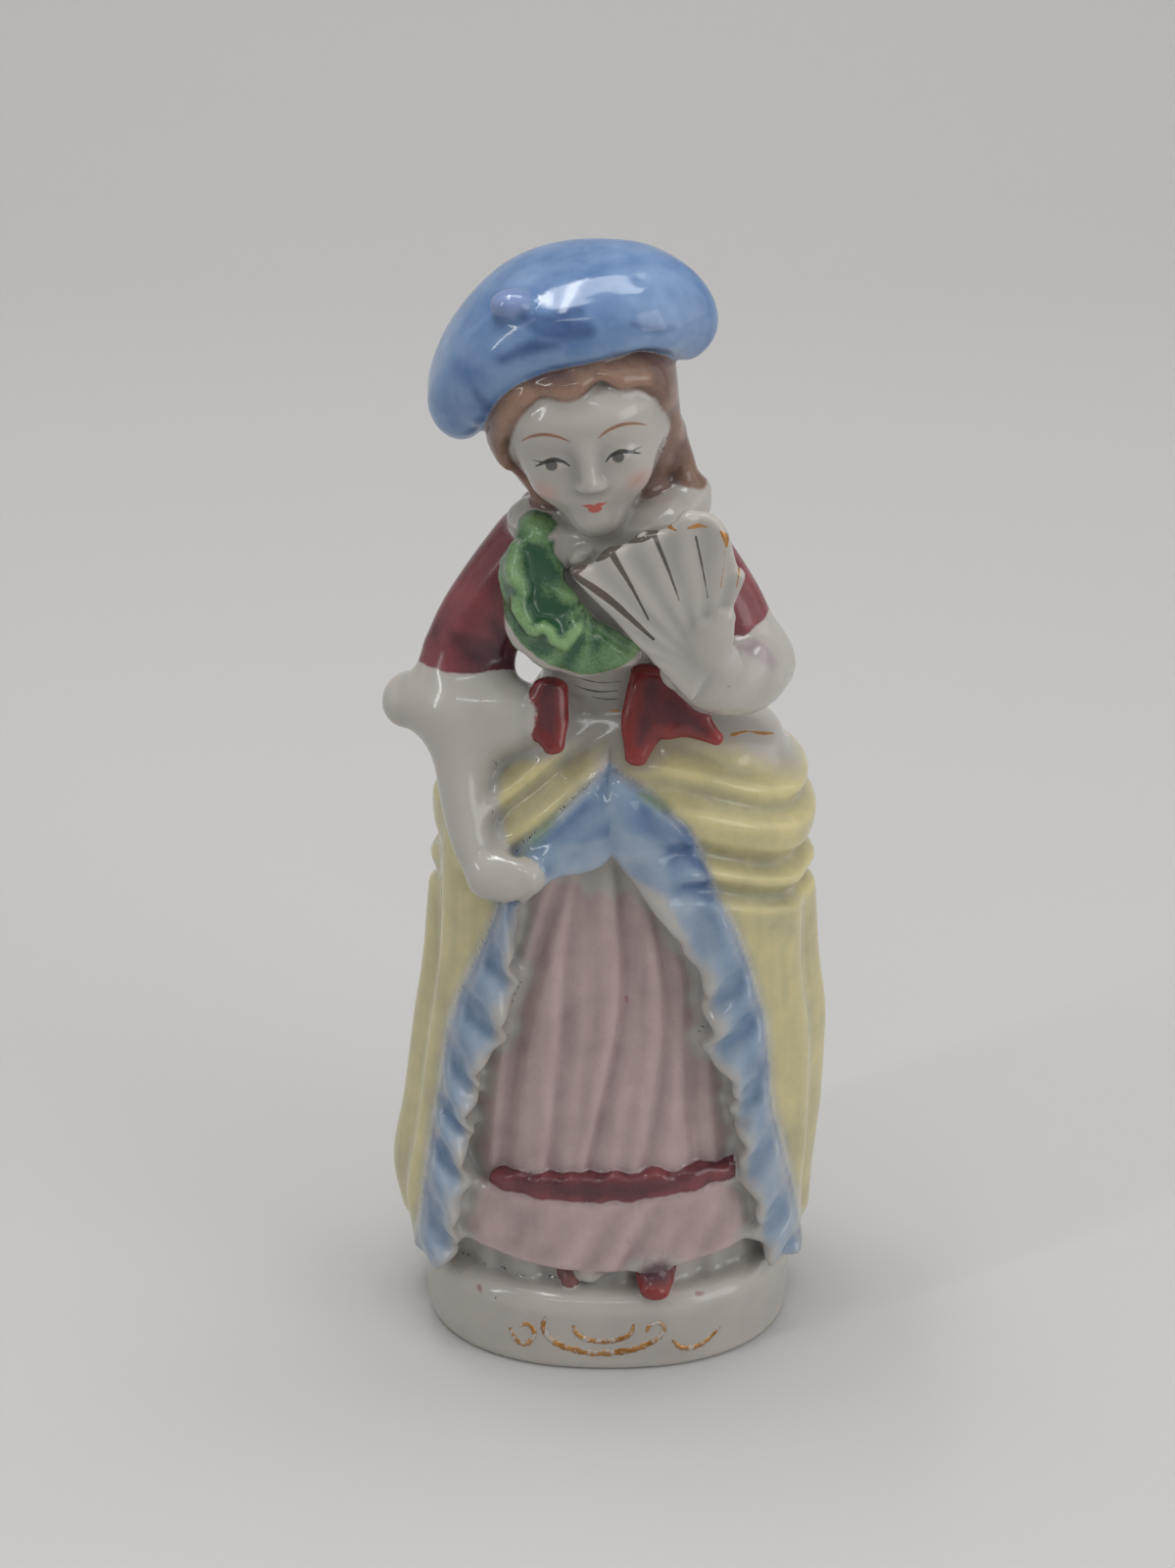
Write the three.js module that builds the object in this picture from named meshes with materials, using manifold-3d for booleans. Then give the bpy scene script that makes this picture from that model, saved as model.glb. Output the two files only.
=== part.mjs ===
// A porcelain lady with an open fan: a small slip-cast figurine on an oval plinth.
// Millimetres, +Z up, she faces -Y. The origin is at the middle of the plinth's underside.
// "Right" and "left" are the lady's own, so her right arm is on the -X side.
// Every form is a function of how much it is grown, so that a neighbour can be trimmed
// to it with an even luting seam between the two.
import * as THREE from "three";
import { mergeVertices } from "three/addons/utils/BufferGeometryUtils.js";
import Module from "manifold-3d";

const wasm = await Module();
wasm.setup();

// Driving sizes.
const seam = 0.25; // between two clay parts
const skirtSeam = 0.4; // between the layers of the skirt
const castWall = 2.6; // wall of the hollow slip casting

const plinthWidth = 42;
const plinthDepth = 35;
const plinthHeight = 9.6;
const plinthEdge = 2.2; // rounding of its upper edge
const footWidth = 3.2; // flat ring that the figurine stands on
const footRecess = 0.6;
const ventDiameter = 7;

const skirtHeight = 66.4; // plinth to waist
const torsoHeight = 23; // waist to shoulders
const headRise = 8; // shoulders to the middle of the head

const pleatDepth = 0.8;
const pleatPitch = 12; // degrees of the petticoat between two pleats
const flounceHeight = 7.4;
const flounceProud = 1.7;
const flounceLift = 2.6; // from the plinth to the lowest point of the hem
const ribbonHeight = 2.6;
const ribbonProud = 0.9;
const gownThickness = 2.1;
const gownFoldDepth = 0.7;
const gownFoldPitch = 36; // degrees
const borderProud = 1.1; // blue edging above the gown
const borderRuffle = 0.8;
const pannierHeight = 24;
const swagDepth = 0.85;
const swagSpacing = 6.6;
const swagSag = 13; // from the front to the hip

const waistWidth = 14.4;
const waistDepth = 12;
const bustWidth = 20;
const bustDepth = 15.5;
const neckDiameter = 9;

const headWidth = 17;
const headHeight = 21;
const headLean = -8; // degrees, to her right
const headBow = 6; // degrees, to the front
const hairThickness = 1.1;
const hatLength = 31;
const hatDepth = 19.4;
const hatThickness = 11.8;
const hatDroop = 0.55; // how much fuller it hangs on her right
const hatRoll = -15; // degrees, down on her right
const hatPitch = 7; // degrees, tipped to the front
const hatButton = 4.6;

const sleeveWidth = 8.4; // at its fullest
const elbowWidth = 9;
const forearmWidth = 6.2;
const wristWidth = 4.6;

const fanRadius = 17;
const fanThickness = 1.8;
const fanStart = 141; // degrees from +X to the blade nearest her chest
const fanEnd = 70;
const fanBlades = 5;
const fanBladeDepth = 0.35;

const shoeLength = 5.6;
const shoeWidth = 3.3;
const giltWidth = 0.8;

// Levels that the sizes above give.
const waist = plinthHeight + skirtHeight;
const shoulder = waist + torsoHeight;
const rad = Math.PI / 180;

// Turning point lists into solids.
function solidFrom(geometry) {
  const plain = geometry.clone();
  for (const name of Object.keys(plain.attributes)) {
    if (name !== "position") plain.deleteAttribute(name);
  }
  const merged = mergeVertices(plain, 1e-4);
  const index = merged.index.array;
  const faces = [];
  for (let i = 0; i < index.length; i += 3) {
    const [a, b, c] = [index[i], index[i + 1], index[i + 2]];
    if (a !== b && b !== c && c !== a) faces.push(a, b, c);
  }
  const make = (order) =>
    new wasm.Manifold(
      new wasm.Mesh({
        numProp: 3,
        vertProperties: merged.attributes.position.array,
        triVerts: new Uint32Array(order),
      }),
    );
  const solid = make(faces);
  return solid.volume() < 0 ? make(faces.toReversed()) : solid;
}

// Joins rings of equal count into one closed skin. A ring's ends are capped by a fan from
// its middle, or, where the ring is a thin bent strip, across from one long side to the other.
function skin(rings, bentStrip = false) {
  const count = rings[0].length;
  const points = rings.flat();
  const last = (rings.length - 1) * count;
  const index = [];
  for (let row = 0; row < last; row += count) {
    for (let i = 0; i < count; i++) {
      const [a, b] = [row + i, row + ((i + 1) % count)];
      index.push(a, b, b + count, a, b + count, a + count);
    }
  }
  if (bentStrip) {
    for (let i = 0; i < count / 2 - 1; i++) {
      const [a, b, c, d] = [i, i + 1, count - 2 - i, count - 1 - i];
      index.push(a, c, b, a, d, c);
      index.push(last + a, last + b, last + c, last + a, last + c, last + d);
    }
  } else {
    const middle = (ring) =>
      ring.reduce((sum, p) => sum.add(p), new THREE.Vector3()).divideScalar(count);
    points.push(middle(rings[0]), middle(rings.at(-1)));
    for (let i = 0; i < count; i++) {
      const next = (i + 1) % count;
      index.push(points.length - 2, next, i, points.length - 1, last + i, last + next);
    }
  }
  const geometry = new THREE.BufferGeometry().setFromPoints(points);
  return solidFrom(geometry.setIndex(index));
}

const steps = (count) => Array.from({ length: count + 1 }, (_, i) => i / count);
const mix = (a, b, t) => a + (b - a) * t;
const smooth = (t) => {
  const s = Math.min(1, Math.max(0, t));
  return s * s * (3 - 2 * s);
};

// Value at a height, from rows of [height, value, ...] in rising order, eased between rows.
function along(rows, at) {
  const last = rows.length - 1;
  if (at <= rows[0][0]) return rows[0].slice(1);
  if (at >= rows[last][0]) return rows[last].slice(1);
  const high = rows.findIndex((row) => row[0] > at);
  const [a, b] = [rows[high - 1], rows[high]];
  const t = (at - a[0]) / (b[0] - a[0]);
  return a.slice(1).map((value, i) => mix(value, b[i + 1], mix(t, smooth(t), 0.4)));
}

function ball({ at, size, turn = [0, 0, 0], fine = 18 }, grow = 0) {
  const geometry = new THREE.SphereGeometry(1, fine, Math.round(fine * 0.6));
  geometry.scale(...size.map((s) => s / 2 + grow));
  const euler = new THREE.Euler(...turn.map((t) => t * rad));
  geometry.applyQuaternion(new THREE.Quaternion().setFromEuler(euler));
  return solidFrom(geometry.translate(...at));
}

// A rounded limb through stations of [x, y, z, width, depth].
function limb(stations, grow = 0, { sides = 12, rows = 7 } = {}) {
  const path = new THREE.CatmullRomCurve3(
    stations.map(([x, y, z]) => new THREE.Vector3(x, y, z)),
  );
  const sizes = stations.map((s, i) => [i / (stations.length - 1), s[3], s[4]]);
  const ring = (t, shrink, shift) => {
    const tangent = path.getTangent(t);
    const across = new THREE.Vector3(0, 1, 0).cross(tangent).normalize();
    const deep = tangent.clone().cross(across).normalize();
    const [width, depth] = along(sizes, t).map((s) => (s / 2 + grow) * shrink);
    const middle = path.getPoint(t).addScaledVector(tangent, shift * (sizeAt(t) / 2 + grow));
    return steps(sides)
      .slice(1)
      .map((s) =>
        middle
          .clone()
          .addScaledVector(across, width * Math.cos(2 * Math.PI * s))
          .addScaledVector(deep, depth * Math.sin(2 * Math.PI * s)),
      );
  };
  const sizeAt = (t) => Math.min(...along(sizes, t));
  const dome = [80, 50, 22];
  const cap = (t, way) => dome.map((a) => ring(t, Math.cos(a * rad), way * Math.sin(a * rad)));
  const tube = steps(rows).map((t) => ring(t, 1, 0));
  return skin([...cap(0, -1), ...tube, ...cap(1, 1).reverse()]);
}

// Trims a solid to its grown neighbours and keeps the main piece of what is left.
function trimmed(solid, ...neighbours) {
  const left = neighbours.reduce((rest, other) => rest.subtract(other(seam)), solid);
  return left.decompose().reduce((a, b) => (a.volume() > b.volume() ? a : b));
}

// The skirts, in angles round the figure's axis: 0 is the front, + is her left.
const squareness = 2.3;
// Rows are [height above the plinth, her right, her left, front, back].
const petticoatGirth = [
  [0, 19.4, 19.4, 14.2, 14.6],
  [30, 17.4, 19.4, 13.2, 13.8],
  [skirtHeight - 16.4, 15.6, 17.6, 12, 13],
  [skirtHeight - 6.4, 12.6, 14.6, 9.8, 10.6],
  [skirtHeight, waistWidth / 2 + 0.6, waistWidth / 2 + 0.6, waistDepth / 2, waistDepth / 2],
];
const gownGirth = [
  [0, 22.8, 22.6, 16, 17],
  [7, 23.9, 22.9, 16.2, 17.3],
  [16, 22.5, 23.6, 16.1, 17],
  [26, 21.2, 23.8, 15.9, 16.8],
  [38, 19.5, 22.4, 15.5, 16.4],
  [skirtHeight - 16.4, 18.8, 21.8, 14.8, 15.8],
  [skirtHeight - 8.4, 17.6, 21.2, 13.6, 14.6],
  [skirtHeight - 4, 14.6, 19, 11.4, 12.4],
  [skirtHeight, 9, 11.5, 8, 8.4],
];

function girth(rows, angle, height) {
  const [right, left, front, back] = along(rows, height);
  const across = Math.abs(Math.sin(angle * rad)) / (Math.sin(angle * rad) < 0 ? right : left);
  const deep = Math.abs(Math.cos(angle * rad)) / (Math.cos(angle * rad) > 0 ? front : back);
  return (across ** squareness + deep ** squareness) ** (-1 / squareness);
}

const onAxis = (angle, radius, height) =>
  new THREE.Vector3(
    radius * Math.sin(angle * rad),
    -radius * Math.cos(angle * rad),
    plinthHeight + height,
  );

// A curved panel round the figure: from and to are angles, low and high are heights above
// the plinth, inner and outer are radii, all of them functions or plain numbers.
function panel({ from, to, low, high, inner, outer, columns, rows }, grow = 0) {
  const value = (f, ...at) => (typeof f === "function" ? f(...at) : f);
  const rings = steps(rows).map((up) => {
    const guess = mix(value(low, 0), value(high, 0), up);
    const spare = (grow / 15) * (180 / Math.PI);
    const [start, end] = [value(from, guess) - spare, value(to, guess) + spare];
    const column = (across, radius, shift) => {
      const angle = mix(start, end, across);
      const height = mix(value(low, angle) - grow, value(high, angle) + grow, up);
      return onAxis(angle, value(radius, angle, height) + shift, height);
    };
    const front = steps(columns).map((s) => column(s, outer, grow));
    const rear = steps(columns).map((s) => column(1 - s, inner, -grow));
    return [...front, ...rear];
  });
  return skin(rings, true);
}

const pleats = (angle, height) => {
  const shown = smooth((62 - Math.abs(angle)) / 12);
  const swing = 5 * Math.sin(height / 17);
  const wave = Math.cos((2 * Math.PI * (angle + swing)) / pleatPitch);
  return shown * pleatDepth * (0.5 * wave - 0.5);
};
const petticoatRadius = (angle, height) => girth(petticoatGirth, angle, height);
const liningRadius = (angle, height) => petticoatRadius(angle, height) + skirtSeam;

// How far the blue edging's two rims are from the middle plane, in rows of
// [height above the plinth, her right, her left].
const edgingInner = [
  [0, 18.6, 19.4],
  [7, 17.1, 18.2],
  [15.6, 15.8, 16.2],
  [25, 13.8, 13.2],
  [36, 12.2, 11.4],
  [skirtHeight - 20.4, 10.4, 8.6],
  [skirtHeight - 13.4, 6.2, 5.2],
  [skirtHeight - 8.9, 0, 0],
];
const edgingOuter = [
  [0, 21.6, 22.2],
  [6, 21, 21.9],
  [14, 20.1, 20.2],
  [25, 18.3, 17.6],
  [36, 15.8, 15.2],
  [skirtHeight - 20.4, 12.6, 12.8],
  [skirtHeight - 9.4, 8.2, 8.2],
  [skirtHeight - 2.8, 1.4, 1.4],
  [skirtHeight, 0, 0],
];
const scallop = (height) => 0.45 * Math.sin((2 * Math.PI * height) / 6.4) * smooth((skirtHeight - 14.4 - height) / 8);

// The angle at which a skirt is the given distance from the middle plane.
function angleAt(rows, height, side, distance) {
  const [right, left, front] = along(rows, height);
  const across = Math.min(0.995, distance / (side < 0 ? right : left));
  const forward = front * (1 - across ** squareness) ** (1 / squareness);
  return Math.atan2(distance, forward) / rad;
}
const rim = (rows, side, height) => along(rows, height)[side < 0 ? 0 : 1];
const edgeIn = (side, height) =>
  angleAt(gownGirth, height, side, rim(edgingInner, side, height) + scallop(height));
const edgeOut = (side, height) =>
  angleAt(gownGirth, height, side, rim(edgingOuter, side, height));
const seamAngle = (skirtSeam / 17) * (180 / Math.PI);

const gownFolds = (angle, height) => {
  const wave = Math.sin(((angle + 0.12 * height) * 2 * Math.PI) / gownFoldPitch);
  const calm = smooth((Math.abs(angle) - 62) / 22);
  return gownFoldDepth * wave * calm * smooth((skirtHeight - 4.4 - height) / 20);
};
const gownRadius = (angle, height) =>
  Math.max(girth(gownGirth, angle, height), liningRadius(angle, height) + gownThickness) +
  gownFolds(angle, height);

// Swagged folds of the bunched overskirt, sagging from the front to the hip.
const swagFolds = (angle, height) => {
  const sag = swagSag * smooth(Math.abs(angle) / 90);
  const wave = Math.cos((2 * Math.PI * (height + sag - skirtHeight + 2)) / swagSpacing);
  return swagDepth * wave * smooth((Math.abs(angle) - 8) / 24) * smooth((skirtHeight - height) / 9);
};
const pannierLow = skirtHeight - pannierHeight;
const pannierRadius = (angle, height) => gownRadius(angle, height) + swagFolds(angle, height);

const borderWave = (height, across) =>
  borderRuffle * Math.sin((2 * Math.PI * height) / 6.4 + 0.6) * (1 - across);

// Forms.
function oval(width, depth, height, count = 40) {
  return steps(count)
    .slice(1)
    .map((s) => {
      const angle = 360 * s;
      const r = girth([[0, width / 2, width / 2, depth / 2, depth / 2]], angle, 0);
      return onAxis(angle, r, height - plinthHeight);
    });
}

const forms = {};

forms.plinth = (grow = 0) => {
  const edge = steps(3).map((s) => {
    const turn = s * 90 * rad;
    const inset = plinthEdge * (1 - Math.cos(turn));
    const rise = plinthEdge * Math.sin(turn);
    const width = plinthWidth - 2 * inset + 2 * grow;
    const depth = plinthDepth - 2 * inset + 2 * grow;
    return oval(width, depth, plinthHeight - plinthEdge + rise + grow);
  });
  const chamfer = 0.7;
  const shrunk = 2 * grow - 2 * chamfer;
  return skin([
    oval(plinthWidth + shrunk, plinthDepth + shrunk, -grow),
    oval(plinthWidth + 2 * grow, plinthDepth + 2 * grow, chamfer),
    ...edge,
  ]);
};

function plinthCasting() {
  const cavity = skin(
    [footRecess + castWall, plinthHeight + 1].map((height) =>
      oval(plinthWidth - 4 * castWall, plinthDepth - 4 * castWall, height),
    ),
  );
  const recess = skin(
    [-1, footRecess].map((height) =>
      oval(plinthWidth - 2 * footWidth - 1.4, plinthDepth - 2 * footWidth - 1.4, height),
    ),
  );
  const vent = new THREE.CylinderGeometry(ventDiameter / 2, ventDiameter / 2, plinthHeight, 24);
  const bore = solidFrom(vent.rotateX(90 * rad));
  return forms.plinth().subtract(cavity).subtract(recess).subtract(bore);
}

forms.petticoat = (grow = 0) => {
  const rings = steps(8).map((up) => {
    const height = mix(seam - grow, skirtHeight + grow, up);
    return skirtAngles.map((angle) => {
      const radius = petticoatRadius(angle, height) + pleats(angle, height) + grow;
      return onAxis(angle, radius, height);
    });
  });
  return skin(rings);
};
const skirtAngles = [
  ...steps(36).map((s) => mix(-60, 60, s)),
  ...steps(14).slice(1, -1).map((s) => mix(60, 300, s)),
];

function petticoatCasting() {
  const hollow = steps(6).map((up) =>
    steps(30).slice(1).map((s) => {
      const height = mix(-1, skirtHeight + 1, up);
      return onAxis(360 * s, petticoatRadius(360 * s, height) - castWall, height);
    }),
  );
  return forms.petticoat().subtract(skin(hollow));
}

forms.gown = (grow = 0) =>
  panel(
    {
      from: (height) => edgeOut(1, height) + seamAngle / 2,
      to: (height) => 360 - edgeOut(-1, height) - seamAngle / 2,
      low: seam,
      high: pannierLow - seam / 2,
      inner: liningRadius,
      outer: gownRadius,
      columns: 30,
      rows: 8,
    },
    grow,
  );

const pannier = (side) => (grow = 0) => {
  const near = (height) => edgeOut(side, height) + seamAngle / 2;
  const back = 180 - seamAngle / 2;
  return panel(
    {
      from: side > 0 ? near : -back,
      to: side > 0 ? back : (height) => -near(height),
      low: pannierLow + seam / 2,
      high: skirtHeight,
      inner: liningRadius,
      outer: pannierRadius,
      columns: 11,
      rows: 16,
    },
    grow,
  );
};
forms.leftPannier = pannier(1);
forms.rightPannier = pannier(-1);

const border = (side) => (grow = 0) => {
  const near = (height) => edgeIn(side, height) + seamAngle / 2;
  const far = (height) => edgeOut(side, height) - seamAngle / 2;
  return panel(
    {
      from: (height) => (side > 0 ? near(height) : -far(height)),
      to: (height) => (side > 0 ? far(height) : -near(height)),
      low: seam + 0.4,
      high: skirtHeight - 3.6,
      inner: liningRadius,
      outer: (angle, height) => {
        const across = (Math.abs(angle) - near(height)) / (far(height) - near(height));
        const body = girth(gownGirth, angle, height) + borderProud + borderWave(height, across);
        return Math.max(body, liningRadius(angle, height) + 1.2);
      },
      columns: 3,
      rows: 28,
    },
    grow,
  );
};
forms.leftBorder = border(1);
forms.rightBorder = border(-1);

const hem = (angle) => flounceLift + 1.6 * (angle / 50) ** 2;
const flounceTop = (angle) => hem(angle) + flounceHeight;
const underEdging = (side, height) =>
  angleAt(gownGirth, height, side, rim(edgingInner, side, height) - 0.6) - seamAngle;
const flounceEnd = (side) => underEdging(side, flounceLift + flounceHeight + 2);
const ribbonEnd = (side) => underEdging(side, flounceLift + flounceHeight + ribbonHeight + 3) - 1;
forms.flounce = (grow = 0) =>
  panel(
    {
      from: -flounceEnd(-1),
      to: flounceEnd(1),
      low: hem,
      high: flounceTop,
      inner: liningRadius,
      outer: (angle, height) => {
        const fall = 1 - (height - hem(angle)) / flounceHeight;
        const wave = Math.cos((2 * Math.PI * angle) / 10.5);
        return liningRadius(angle, height) + flounceProud * (0.45 + 0.5 * fall) + 0.45 * wave * fall;
      },
      columns: 36,
      rows: 2,
    },
    grow,
  );

forms.ribbon = (grow = 0) =>
  panel(
    {
      from: -ribbonEnd(-1),
      to: ribbonEnd(1),
      low: (angle) => flounceTop(angle) + seam,
      high: (angle) => flounceTop(angle) + seam + ribbonHeight * (1 - 0.4 * (angle / 50) ** 2),
      inner: liningRadius,
      outer: (angle, height) => liningRadius(angle, height) + ribbonProud,
      columns: 24,
      rows: 3,
    },
    grow,
  );

// The torso's rows are [height above the waist, right, left, front, back].
const torsoGirth = [
  [0, waistWidth / 2, waistWidth / 2, waistDepth / 2, waistDepth / 2],
  [4, waistWidth / 2, waistWidth / 2, waistDepth / 2 + 0.4, waistDepth / 2],
  [13, bustWidth / 2, bustWidth / 2, bustDepth * 0.62, bustDepth / 2 - 1],
  [19, bustWidth / 2 + 1, bustWidth / 2, bustDepth * 0.5, bustDepth / 2 - 1],
  [torsoHeight, bustWidth * 0.36, bustWidth * 0.3, bustDepth * 0.3, bustDepth * 0.32],
];
function torsoLoft(low, high, inset) {
  return skin(
    steps(9).map((up) => {
      const height = mix(low, high, up);
      return steps(24).slice(1).map((s) => {
        const radius = girth(torsoGirth, 360 * s, height) - inset;
        return onAxis(360 * s, radius, skirtHeight + height);
      });
    }),
  );
}
forms.torso = (grow = 0) => torsoLoft(seam - grow, torsoHeight + grow, -grow);
const torsoCasting = () =>
  forms.torso().subtract(torsoLoft(-1, torsoHeight - castWall - 2, castWall));

// The head leans to her right and is a little bowed. Rows are measured from its middle:
// [height, right, left, front, back], on a head of the standard height.
const headAt = [-1.9, -5.5, shoulder + headRise];
const headGirth = [
  [-7.2, 2.2, 2.2, 6.4, 1.5],
  [-6.3, 3.7, 3.7, 7.3, 3],
  [-4.4, 5.1, 5.1, 7.9, 4.6],
  [-1, 7.1, 7.1, 8.2, 6.6],
  [3, 8.2, 8.2, 8.3, 8.2],
  [6.5, 8.3, 8.3, 8.5, 8.4],
  [9, 6.8, 6.8, 7.2, 7],
  [10.5, 3, 3, 3.2, 3],
];
const headScale = [headWidth / 16.6, headWidth / 16.6, headHeight / 21];
function onHead(x, y, z) {
  const point = new THREE.Vector3(x * headScale[0], y * headScale[1], z * headScale[2]);
  point.applyEuler(new THREE.Euler(headBow * rad, headLean * rad, 0));
  return point.add(new THREE.Vector3(...headAt));
}
function headLoft(rows, low, high, thick, grow, { levels = 12, around = 24 } = {}) {
  return skin(
    steps(levels).map((up) => {
      const height = mix(low, high, 0.5 - 0.5 * Math.cos(Math.PI * up));
      return steps(around).slice(1).map((s) => {
        const radius = girth(rows, 360 * s, height) + thick + grow;
        const [x, y] = [Math.sin(2 * Math.PI * s) * radius, -Math.cos(2 * Math.PI * s) * radius];
        return onHead(x, y, height + grow * (2 * up - 1));
      });
    }),
  );
}
const headPoint = (x, y, z, ...size) => [...onHead(x, y, z).toArray(), ...size];

forms.head = (grow = 0) => {
  const skull = headLoft(headGirth, -7.2, 10.5, 0, grow);
  const bridge = headPoint(0, -8, 2.4, 1.5, 1.4);
  const tip = headPoint(0, -8.9, -0.6, 2.3, 2.2);
  return skull.add(limb([bridge, tip], grow, { sides: 8, rows: 3 }));
};

forms.neck = (grow = 0) =>
  limb(
    [
      [-0.6, -0.6, shoulder - 2.6, neckDiameter + 3.4, neckDiameter + 1],
      [-1, -2.4, shoulder - 0.4, neckDiameter + 0.6, neckDiameter],
      [-1.5, -4.4, shoulder + 2, neckDiameter, neckDiameter],
    ],
    grow,
    { rows: 6 },
  );

const hairGirth = [
  [-9, 6.2, 6.2, 5, 7],
  [-4, 8.2, 8.2, 7.6, 9],
  ...headGirth.slice(4, 6),
  [9.4, 7.6, 7.6, 7.8, 7.8],
  [11.4, 3.6, 3.6, 3.8, 3.6],
];
forms.hair = (grow = 0) => {
  const mass = headLoft(hairGirth, -6, 11.4, hairThickness, grow, { levels: 9 });
  const face = new THREE.CylinderGeometry(1, 1, 24, 24).toNonIndexed();
  face.scale(headWidth / 2 - grow, 1, headHeight * 0.6 - grow);
  face.translate(0.2, -13.6 - grow, -headHeight * 0.085);
  const position = face.getAttribute("position");
  for (let i = 0; i < position.count; i++) {
    const point = new THREE.Vector3().fromBufferAttribute(position, i);
    position.setXYZ(i, ...onHead(point.x, point.y, point.z).toArray());
  }
  return mass.subtract(solidFrom(face));
};

forms.hairLock = (grow = 0) =>
  limb(
    [
      [headAt[0] + 8.4, headAt[1] + 3, headAt[2] + 1, 2.6, 4.2],
      [headAt[0] + 9.4, headAt[1] + 2.6, headAt[2] - 2.4, 3.4, 4.2],
      [headAt[0] + 9.9, headAt[1] + 2, shoulder + 2.4, 2.2, 3],
    ],
    grow,
    { sides: 10, rows: 6 },
  );

const hatAt = [headAt[0] - 1.9, headAt[1] + 1.6, headAt[2] + headHeight / 2 + 3.2];
const onHat = (x, y, z) =>
  new THREE.Vector3(x, y, z)
    .applyEuler(new THREE.Euler(hatPitch * rad, hatRoll * rad, 0))
    .add(new THREE.Vector3(...hatAt));
forms.hat = (grow = 0) => {
  // A soft cap: a flattened round cushion, fuller on the side that droops.
  const rings = steps(11).slice(1, -1).map((up) => {
    const turn = mix(-90, 90, up) * rad;
    const spread = Math.cos(turn) ** 0.6;
    const rise = Math.sin(turn);
    return steps(30).slice(1).map((s) => {
      const angle = 2 * Math.PI * s;
      const fuller = 1 + (rise < 0 ? hatDroop * Math.max(0, -Math.cos(angle) * spread) : 0);
      return onHat(
        Math.cos(angle) * (hatLength / 2 + grow) * spread,
        Math.sin(angle) * (hatDepth / 2 + grow) * spread,
        rise * (hatThickness / 2 + grow) * fuller,
      );
    });
  });
  return skin(rings);
};
forms.hatButton = (grow = 0) =>
  ball(
    {
      at: onHat(-3, -hatDepth * 0.29, hatThickness * 0.42).toArray(),
      size: [hatButton, hatButton * 0.8, hatButton * 0.7],
      fine: 14,
    },
    grow,
  );

// Arms. Places are measured from the shoulder line and from the waist.
forms.rightSleeve = (grow = 0) =>
  limb(
    [
      [-6.6, -1, shoulder - 2.2, sleeveWidth - 1.4, sleeveWidth],
      [-9.6, -1.4, shoulder - 6.2, sleeveWidth - 0.2, sleeveWidth + 0.4],
      [-13.8, -2.2, shoulder - 12.6, sleeveWidth, sleeveWidth],
      [-16, -2.8, waist + 6.6, sleeveWidth - 0.4, sleeveWidth - 0.4],
    ],
    grow,
    { sides: 16 },
  );
forms.rightCuff = (grow = 0) =>
  limb(
    [
      [-21.2, -3, waist + 1.2, elbowWidth - 3, elbowWidth - 2],
      [-17.4, -4.4, waist + 2.1, elbowWidth + 0.2, elbowWidth - 0.6],
      [-12.4, -6.4, waist + 2.8, elbowWidth - 2, elbowWidth - 2],
      [-8.6, -7.6, waist + 3.2, elbowWidth - 4.6, elbowWidth - 4.4],
    ],
    grow,
    { sides: 14 },
  );
forms.rightForearm = (grow = 0) =>
  limb(
    [
      [-17.6, -6.6, waist - 0.2, forearmWidth + 0.6, forearmWidth],
      [-16.4, -9.6, waist - 6.6, forearmWidth - 0.6, forearmWidth - 0.6],
      [-15.2, -11.8, waist - 11, wristWidth + 0.4, wristWidth + 0.4],
      [-13.7, -13.4, waist - 14.6, wristWidth, wristWidth - 0.2],
    ],
    grow,
    { sides: 14, rows: 8 },
  );
forms.rightHand = (grow = 0) =>
  limb(
    [
      [-12.6, -15.2, waist - 15.4, wristWidth, wristWidth - 0.6],
      [-10.6, -16.6, waist - 15.4, wristWidth - 0.2, wristWidth - 1],
      [-8.2, -17.2, waist - 14.2, wristWidth - 2, wristWidth - 2.2],
    ],
    grow,
  );

forms.leftSleeve = (grow = 0) =>
  limb(
    [
      [5.4, -1.4, shoulder - 1.6, sleeveWidth - 1.4, sleeveWidth],
      [8.8, -1.8, shoulder - 5.4, sleeveWidth - 0.6, sleeveWidth + 0.4],
      [12, -2.4, shoulder - 10.4, sleeveWidth - 0.4, sleeveWidth],
      [14.4, -3, waist + 8, sleeveWidth - 0.8, sleeveWidth - 0.4],
    ],
    grow,
    { sides: 16 },
  );
const fanPivot = [9.9, -15.6, shoulder - 12.2];
forms.leftCuff = (grow = 0) =>
  limb(
    [
      [16.2, -3.4, waist + 5.4, elbowWidth - 2.4, elbowWidth - 2],
      [14.4, -7, waist + 6.2, elbowWidth - 1, elbowWidth - 1],
      [10.4, -11.4, waist + 8.4, elbowWidth - 2.4, elbowWidth - 2.6],
    ],
    grow,
    { sides: 14 },
  );
forms.leftHand = (grow = 0) =>
  limb(
    [
      [9.2, -13.6, fanPivot[2] - 1, wristWidth + 0.8, wristWidth + 0.4],
      [9.6, fanPivot[1] - 1, fanPivot[2] + 0.8, wristWidth + 1.6, wristWidth],
      [11.2, fanPivot[1] - 1.8, fanPivot[2] + 4, wristWidth, wristWidth - 1.4],
      [12, fanPivot[1] - 1.8, fanPivot[2] + 6.6, wristWidth - 2, wristWidth - 2.4],
    ],
    grow,
  );

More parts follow.
